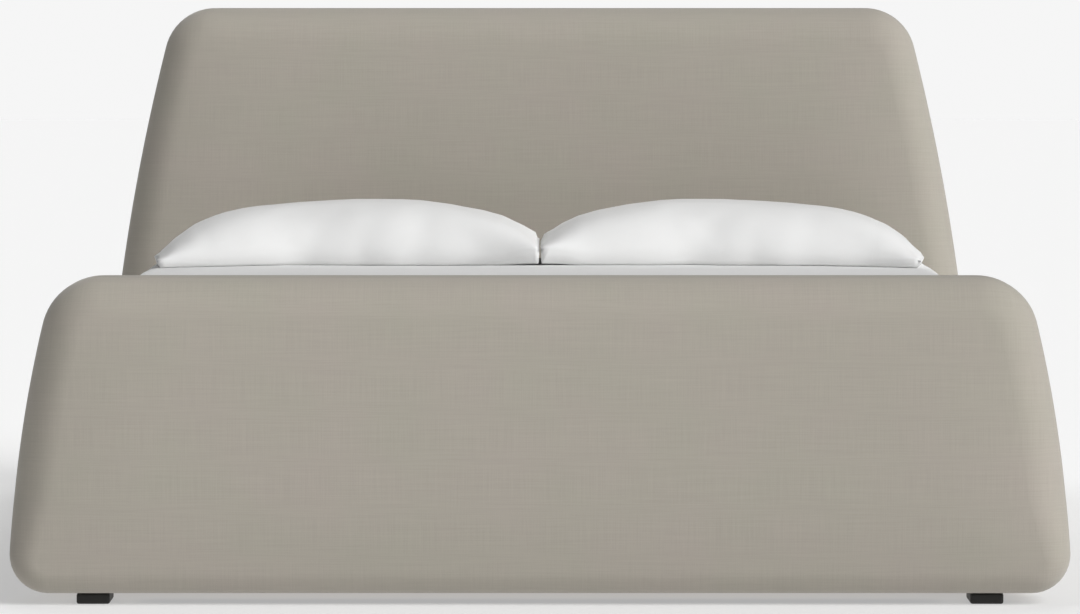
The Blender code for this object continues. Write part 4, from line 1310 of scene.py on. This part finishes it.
def screw_tree():
    """Pan-head screws at the points of a mesh, each along its point's facing."""
    nodes, size = geometry_tree("screws", {"Places": None, **SCREW})
    head = nodes.out("GeometryNodeMeshCone", None, {
        "Vertices": 16, "Side Segments": 2, "Radius Top": size["Radius"] * 0.72,
        "Radius Bottom": size["Radius"], "Depth": size["Height"],
    })
    drive = nodes.out("GeometryNodeMeshCone", None, {
        "Vertices": 6, "Radius Top": size["Drive"], "Radius Bottom": size["Drive"] * 0.8,
        "Depth": size["Height"],
    })
    sunk = nodes.out("GeometryNodeTransform", None, {
        "Geometry": drive, "Translation": nodes.vector(0.0, 0.0, size["Height"] * 0.45),
    })
    cut = nodes.out("GeometryNodeMeshBoolean", {"operation": "DIFFERENCE", "solver": "EXACT"}, {
        "Mesh 1": head, "Mesh 2": sunk,
    })
    facing = nodes.out("GeometryNodeInputNamedAttribute", {"data_type": "FLOAT_VECTOR"}, {
        "Name": "facing",
    })
    turn = nodes.out("FunctionNodeAlignRotationToVector", {"axis": "Z"}, {"Vector": facing})
    placed = nodes.out("GeometryNodeInstanceOnPoints", None, {
        "Points": size["Places"], "Instance": cut, "Rotation": turn,
    })
    return end_tree(nodes, placed, size["Finish"])


def host_of(name, places):
    """A mesh of points from (place, facing) pairs."""
    mesh = bpy.data.meshes.new(name)
    mesh.from_pydata([tuple(place) for place, _ in places], [], [])
    store_vectors(mesh, "facing", [facing for _, facing in places])
    return mesh


def ease(node, width, finish, slot):
    """A copy of one of the frame's CAD nodes with its sharp edges eased, which stands for it."""
    source = bpy.data.objects[node]
    obj = new_object(f"{node}_eased", source.data.copy())
    bm = bmesh.new()
    bm.from_mesh(obj.data)
    bm.transform(source.matrix_world)
    bmesh.ops.remove_doubles(bm, verts=bm.verts, dist=1e-5)
    bmesh.ops.dissolve_limit(bm, angle_limit=math.radians(1), verts=bm.verts, edges=bm.edges)
    bm.to_mesh(obj.data)
    bm.free()
    obj.data.materials.clear()
    obj.data.materials.append(finish)
    bevel = obj.modifiers.new("eased edges", "BEVEL")
    bevel.width = width
    bevel.segments = 2
    bevel.limit_method = "ANGLE"
    bevel.angle_limit = math.radians(40)
    bevel.use_clamp_overlap = True
    on_frame(settle(obj), slot, node)


def turned(name, sections, finish, centre):
    """A body of rings: sections are (radius, height) from its underside to its top."""
    count = 40
    angle = np.arange(count) * 2 * math.pi / count
    ring = np.column_stack([np.cos(angle), np.sin(angle)])
    points, faces = [], []
    for k, (radius, height) in enumerate(sections):
        points.append(np.column_stack([ring * radius, np.full(count, height)]))
        if k:
            faces.append(loop_faces((k - 1) * count, k * count, count))
    points = np.concatenate(points) + centre
    faces = [tuple(map(int, face)) for face in np.concatenate(faces)]
    faces.append(tuple(range(count))[::-1])
    faces.append(tuple(range(len(points) - count, len(points))))
    mesh = bpy.data.meshes.new(name)
    mesh.from_pydata(points.tolist(), [], faces)
    mesh.materials.append(finish)
    mesh.shade_smooth()
    mesh.set_sharp_from_angle(angle=math.radians(35))
    return new_object(name, mesh)


def dress(finish, *nodes):
    """Gives CAD nodes that stay in view a procedural material in their own slots."""
    for node in nodes:
        slots = bpy.data.objects[node].data.materials
        for index in range(len(slots)):
            slots[index] = finish
        if not slots:
            slots.append(finish)


def belong(obj, body, slot, *nodes):
    """A piece moves with a body and stands for CAD nodes, which are hidden. Its slot is not used."""
    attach(obj, body)
    if nodes:
        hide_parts(*nodes)


def on_frame(obj, slot, *nodes):
    belong(obj, BED, slot, *nodes)


def bed_finish(kind):
    """One of the bed's materials, made from the sidebar's colours when it is first asked for."""
    colours = bpy.context.scene.bed_finishes
    sewing = (0.8, 900.0, 0.0002)
    kinds = {
        "cloth": ("upholstery_cloth", upholstery_finish, colours.upholstery, colours.thread),
        "cotton": ("bedding_cotton", cotton_finish, colours.bedding, 0.0006),
        "thread": ("sewing_thread", coated_finish, darker(colours.upholstery, 0.9), *sewing),
        "white thread": ("white_thread", coated_finish, darker(colours.bedding, 0.93), *sewing),
        "ticking": ("mattress_ticking", ticking_finish, colours.ticking, 0.045),
        "foam": ("upholstery_foam", foam_finish, colours.foam),
        "plywood": ("birch_plywood", plywood_finish, colours.pine, darker(colours.pine, 0.62)),
        "dust cloth": ("dust_cloth", dust_cloth_finish, colours.steel),
        "feet": ("foot_plastic", coated_finish, colours.feet, 0.5, 1400.0, 0.0002),
        "steel": ("powder_coat", coated_finish, colours.steel, 0.45, 1800.0, 0.00025),
        "zinc": ("zinc_plate", metal_finish, colours.zinc, 0.36),
        "nylon": ("nylon", coated_finish, colours.nylon, 0.5, 1200.0, 0.00015),
    }
    for axis, letter in enumerate("xyz"):
        kinds[f"timber {letter}"] = (f"pine_{axis}", wood_finish, axis, colours.pine,
                                     colours.pine_grain)
    name, make, *values = kinds[kind]
    return bpy.data.materials.get(name) or make(name, *values)


# ------------------------------------------------------------------ operators


class BedOperator(bpy.types.Operator):
    """Shared by the bed's operators: runs make() and reports that it ended."""

    bl_options = {"REGISTER", "UNDO"}

    def execute(self, context):
        self.make(context)
        return {"FINISHED"}


class BED_OT_boards(BedOperator):
    """Cover the headboard and the footboard with cloth"""

    bl_idname = "bed.boards"
    bl_label = "Cover the Boards"

    def make(self, context):
        tree = board_tree()
        for name in BOARDS:
            cover = grow(f"{name}_upholstery", tree, board_sizes(name), bed_finish("cloth"))
            weld(cover.data, turn_outwards=True)
            thicken(cover, context.scene.bed_boards.cloth)
            on_frame(cover, "upholstery", f"{name}_cover")


class BED_OT_seams(BedOperator):
    """Sew the seam round the far panel of each board"""

    bl_idname = "bed.seams"
    bl_label = "Sew the Seams"

    def make(self, context):
        tree = stitch_tree()
        for name in BOARDS:
            line = board_seams(name)
            seam = grow(f"{name}_seam", tree, BOARD_STITCH, bed_finish("thread"), line)
            on_frame(seam, "upholstery")


class BED_OT_rails(BedOperator):
    """Cover the side rails with cloth"""

    bl_idname = "bed.rails"
    bl_label = "Cover the Rails"

    def make(self, context):
        for side in SIDES:
            cover = rail_cover(side, bed_finish("cloth"))
            on_frame(cover, "upholstery", f"{side}_rail_cover")


class BED_OT_mattress(BedOperator):
    """Make the mattress with its piping and the fitted sheet over it"""

    bl_idname = "bed.mattress"
    bl_label = "Make the Mattress"

    def make(self, context):
        body = mattress_body(bed_finish("ticking"))
        belong(body, "mattress", "mattress_cover", "mattress")
        belong(piping(bed_finish("ticking")), "mattress", "mattress_cover")
        sheet, flat, area = fitted_sheet(bed_finish("cotton"))
        belong(sheet, "mattress", "mattress_cover")


class BED_OT_pillows(BedOperator):
    """Fill the two pillows and lay them on the sheet"""

    bl_idname = "bed.pillows"
    bl_label = "Fill the Pillows"

    def make(self, context):
        low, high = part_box("left_pillow")
        body = blown_pillow(high.x - low.x + 0.05, high.y - low.y + 0.05)
        tree = bpy.data.node_groups.get("stitches") or stitch_tree()
        for side in SIDES:
            case = pillow(side, body, bed_finish("cotton"))
            hem = pillow_hem(case, side, bed_finish("white thread"), tree)
            belong(case, f"{side}_pillow", "pillow_cover", f"{side}_pillow")
            belong(hem, f"{side}_pillow", "pillow_cover")
        bpy.data.objects.remove(body)


class BED_OT_slats(BedOperator):
    """Lay the slats across the bed and screw them down"""

    bl_idname = "bed.slats"
    bl_label = "Lay the Slats"

    def make(self, context):
        names = [f"slat_{number:02d}" for number in range(1, SLATS + 1)]
        boxes = [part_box(name) for name in names]
        low, high = boxes[0]
        values = {
            "Count": len(names),
            "First": (low.y + high.y) / 2,
            "Pitch": boxes[1][0].y - low.y,
            "Width": high.y - low.y,
            "Thickness": high.z - low.z,
            "Length": high.x - low.x,
            "Height": (low.z + high.z) / 2,
            "Easing": 0.003,
        }
        slats = grow("bed_slats", slat_tree(values), values, bed_finish("timber x"))
        on_frame(slats, "slats", *names)
        places = []
        for low, high in boxes:
            for x in (low.x + 0.012, high.x - 0.012):
                for y in (low.y + 0.03, high.y - 0.03):
                    places.append((Vector((x, y, high.z - 0.0009)), Vector((0, 0, 1))))
        screws = grow("slat_screws", screw_tree(), SCREW, bed_finish("zinc"),
                      host_of("slat screw places", places))
        on_frame(screws, "bolts")


class BED_OT_frame(BedOperator):
    """Give the timber, foam and panels inside the bed their finishes"""

    bl_idname = "bed.frame"
    bl_label = "Finish the Frame"

    def make(self, context):
        for side in SIDES:
            ease(f"{side}_ledger", 0.002, bed_finish("timber y"), "timber")
            dress(bed_finish("timber y"), f"{side}_rail_board")
            dress(bed_finish("foam"), f"{side}_rail_foam")
        ease("centre_beam", 0.003, bed_finish("timber y"), "timber")
        for leg in ("centre_leg_1", "centre_leg_2"):
            ease(leg, 0.002, bed_finish("timber z"), "timber")
        for board in BOARDS:
            dress(bed_finish("foam"), f"{board}_foam")
            dress(bed_finish("plywood"), f"{board}_inner_panel", f"{board}_outer_panel")
            dress(bed_finish("timber z"), f"{board}_left_post", f"{board}_right_post")
            dress(bed_finish("timber x"), f"{board}_top_rail", f"{board}_bottom_rail")
            dress(bed_finish("dust cloth"), f"{board}_dust_cloth")
        dress(bed_finish("timber x"), "headboard_middle_rail")


class BED_OT_fittings(BedOperator):
    """Make the feet, brackets, hangers, bolts and glides"""

    bl_idname = "bed.fittings"
    bl_label = "Fit the Hardware"

    def make(self, context):
        for board in BOARDS:
            for side in SIDES:
                ease(f"{board}_{side}_foot", 0.0035, bed_finish("feet"), "feet")
                ease(f"{board}_{side}_bracket", 0.0006, bed_finish("steel"), "steel")
                dress(bed_finish("zinc"), f"{board}_{side}_bolt")
            ease(f"{board}_beam_hanger", 0.0006, bed_finish("steel"), "steel")
        for number in (1, 2):
            self.glide(number)

    def glide(self, number):
        name = f"leg_glide_{number}"
        low, high, centre, half = middle_of(name)
        tall, radius, stem = high.z - low.z, half.x, 0.0038
        rings = [(radius - 0.003, 0.0), (radius - 0.0008, 0.0007), (radius, 0.002),
                 (radius, 0.0044), (radius - 0.0015, 0.0058), (stem, 0.0058)]
        height, pitch = 0.0062, 0.00125
        while height + pitch < tall:
            rings += [(stem, height), (stem - 0.0004, height + pitch / 2)]
            height += pitch
        rings += [(stem - 0.0002, height), (stem - 0.0009, tall)]
        glide = turned(f"{name}_turned", rings, bed_finish("nylon"), (centre.x, centre.y, low.z))
        belong(glide, name, "glides", name)


# SHADE_REACH and LEAST_GLOW shape the painted shadow in the floor's glow: how far from other things
# it reaches, and how far the glow drops.
FLOOR_HALF, DOME_RADIUS, SHADE_REACH, LEAST_GLOW = 60.0, 40.0, 0.5, 0.7


class BED_OT_studio(BedOperator):
    """Set up the floor, the light and the camera"""

    bl_idname = "bed.studio"
    bl_label = "Set Up the Studio"

    def make(self, context):
        studio = context.scene.bed_studio
        self.floor(studio.floor, studio.glow)
        self.backdrop(studio.backdrop)
        self.room(context.scene, studio.sky)
        self.lamp("key", studio.key, studio.key_spread, Vector(studio.key_place))
        self.lamp("overhead", studio.overhead, studio.overhead_spread, Vector((0, 0, 1)))
        self.camera(context.scene, studio)
        context.scene.view_settings.view_transform = "Standard"

    def floor(self, colour, glow):
        corners = [(x * FLOOR_HALF, y * FLOOR_HALF, 0) for x, y in
                   ((-1, -1), (1, -1), (1, 1), (-1, 1))]
        finish, nodes, shader = new_finish("studio_floor", 0.95, specular_ior_level=0.0)
        shader.inputs["Emission Strength"].default_value = glow
        place = nodes.place()
        tone = nodes.mix(nodes.noise(place, 3.0, 2.0), darker(colour, 0.995), colour)
        # The floor's glow is dimmed by ambient occlusion near other things, down to LEAST_GLOW. This
        # is a painted contact shadow under and around the bed.
        open_sky = nodes.out("ShaderNodeAmbientOcclusion", None, {"Distance": SHADE_REACH}, "AO")
        lit = nodes.mix(nodes.math("MAXIMUM", open_sky, LEAST_GLOW), (0, 0, 0), (1, 1, 1))
        feed(nodes, shader, base_color=tone, emission_color=lit)
        mesh = mesh_from("studio_floor", corners, [(0, 1, 2, 3)], finish)
        new_object("studio_floor", mesh)

    def backdrop(self, glow):
        """A pale dome far away that only the camera sees, so it adds no light."""
        mesh = bpy.data.meshes.new("studio_backdrop")
        bm = bmesh.new()
        bmesh.ops.create_uvsphere(bm, u_segments=48, v_segments=24, radius=DOME_RADIUS)
        bm.to_mesh(mesh)
        bm.free()
        finish, _, shader = new_finish("studio_backdrop", 1.0, specular_ior_level=0.0)
        shader.inputs["Base Color"].default_value = (0.0, 0.0, 0.0, 1.0)
        shader.inputs["Emission Color"].default_value = (1.0, 1.0, 1.0, 1.0)
        shader.inputs["Emission Strength"].default_value = glow
        mesh.materials.append(finish)
        dome = new_object("studio_backdrop", mesh)
        for ray in ("diffuse", "glossy", "transmission", "shadow"):
            setattr(dome, f"visible_{ray}", False)

    def room(self, scene, strength):
        world = bpy.data.worlds.new("studio")
        world.use_nodes = True
        background = world.node_tree.nodes["Background"]
        background.inputs["Color"].default_value = (1.0, 1.0, 1.0, 1.0)
        background.inputs["Strength"].default_value = strength
        scene.world = world

    def lamp(self, name, strength, spread, way):
        light = bpy.data.lights.new(name, "SUN")
        light.energy = strength
        light.angle = spread
        obj = new_object(name, light)
        obj.location = way.normalized() * 8.0
        obj.rotation_euler = way.to_track_quat("Z", "Y").to_euler()

    def camera(self, scene, studio):
        camera = bpy.data.cameras.new("camera")
        camera.lens = studio.lens
        camera.sensor_width = 36.0
        camera.clip_end = 500.0
        obj = new_object("camera", camera)
        y = middle_of("footboard_left_foot")[2].y - studio.eye_distance
        obj.location = (0.0, y, studio.eye_height)
        obj.rotation_euler = (math.pi / 2 - studio.tilt, 0.0, 0.0)
        scene.camera = obj


STEPS = (
    BED_OT_boards, BED_OT_seams, BED_OT_rails, BED_OT_mattress, BED_OT_pillows, BED_OT_slats,
    BED_OT_frame, BED_OT_fittings, BED_OT_studio,
)


class BED_PT_sidebar(bpy.types.Panel):
    """Lists the bed's steps and settings"""

    bl_idname = "BED_PT_sidebar"
    bl_label = "Upholstered Sleigh Bed"
    bl_space_type = "VIEW_3D"
    bl_region_type = "UI"
    bl_category = "Bed"

    def draw(self, context):
        for step in STEPS:
            self.layout.operator(step.bl_idname)
        for name, group in GROUPS.items():
            box = self.layout.box()
            settings = getattr(context.scene, name)
            for prop in group.__annotations__:
                box.prop(settings, prop)


CLASSES = (*GROUPS.values(), *STEPS, BED_PT_sidebar)


def register():
    for made in CLASSES:
        bpy.utils.register_class(made)
    for name, group in GROUPS.items():
        setattr(bpy.types.Scene, name, PointerProperty(type=group))


def unregister():
    for name in GROUPS:
        delattr(bpy.types.Scene, name)
    for made in reversed(CLASSES):
        bpy.utils.unregister_class(made)


def main():
    register()
    for step in STEPS:
        group, name = step.bl_idname.split(".")
        getattr(getattr(bpy.ops, group), name)()


if __name__ == "__main__":
    main()
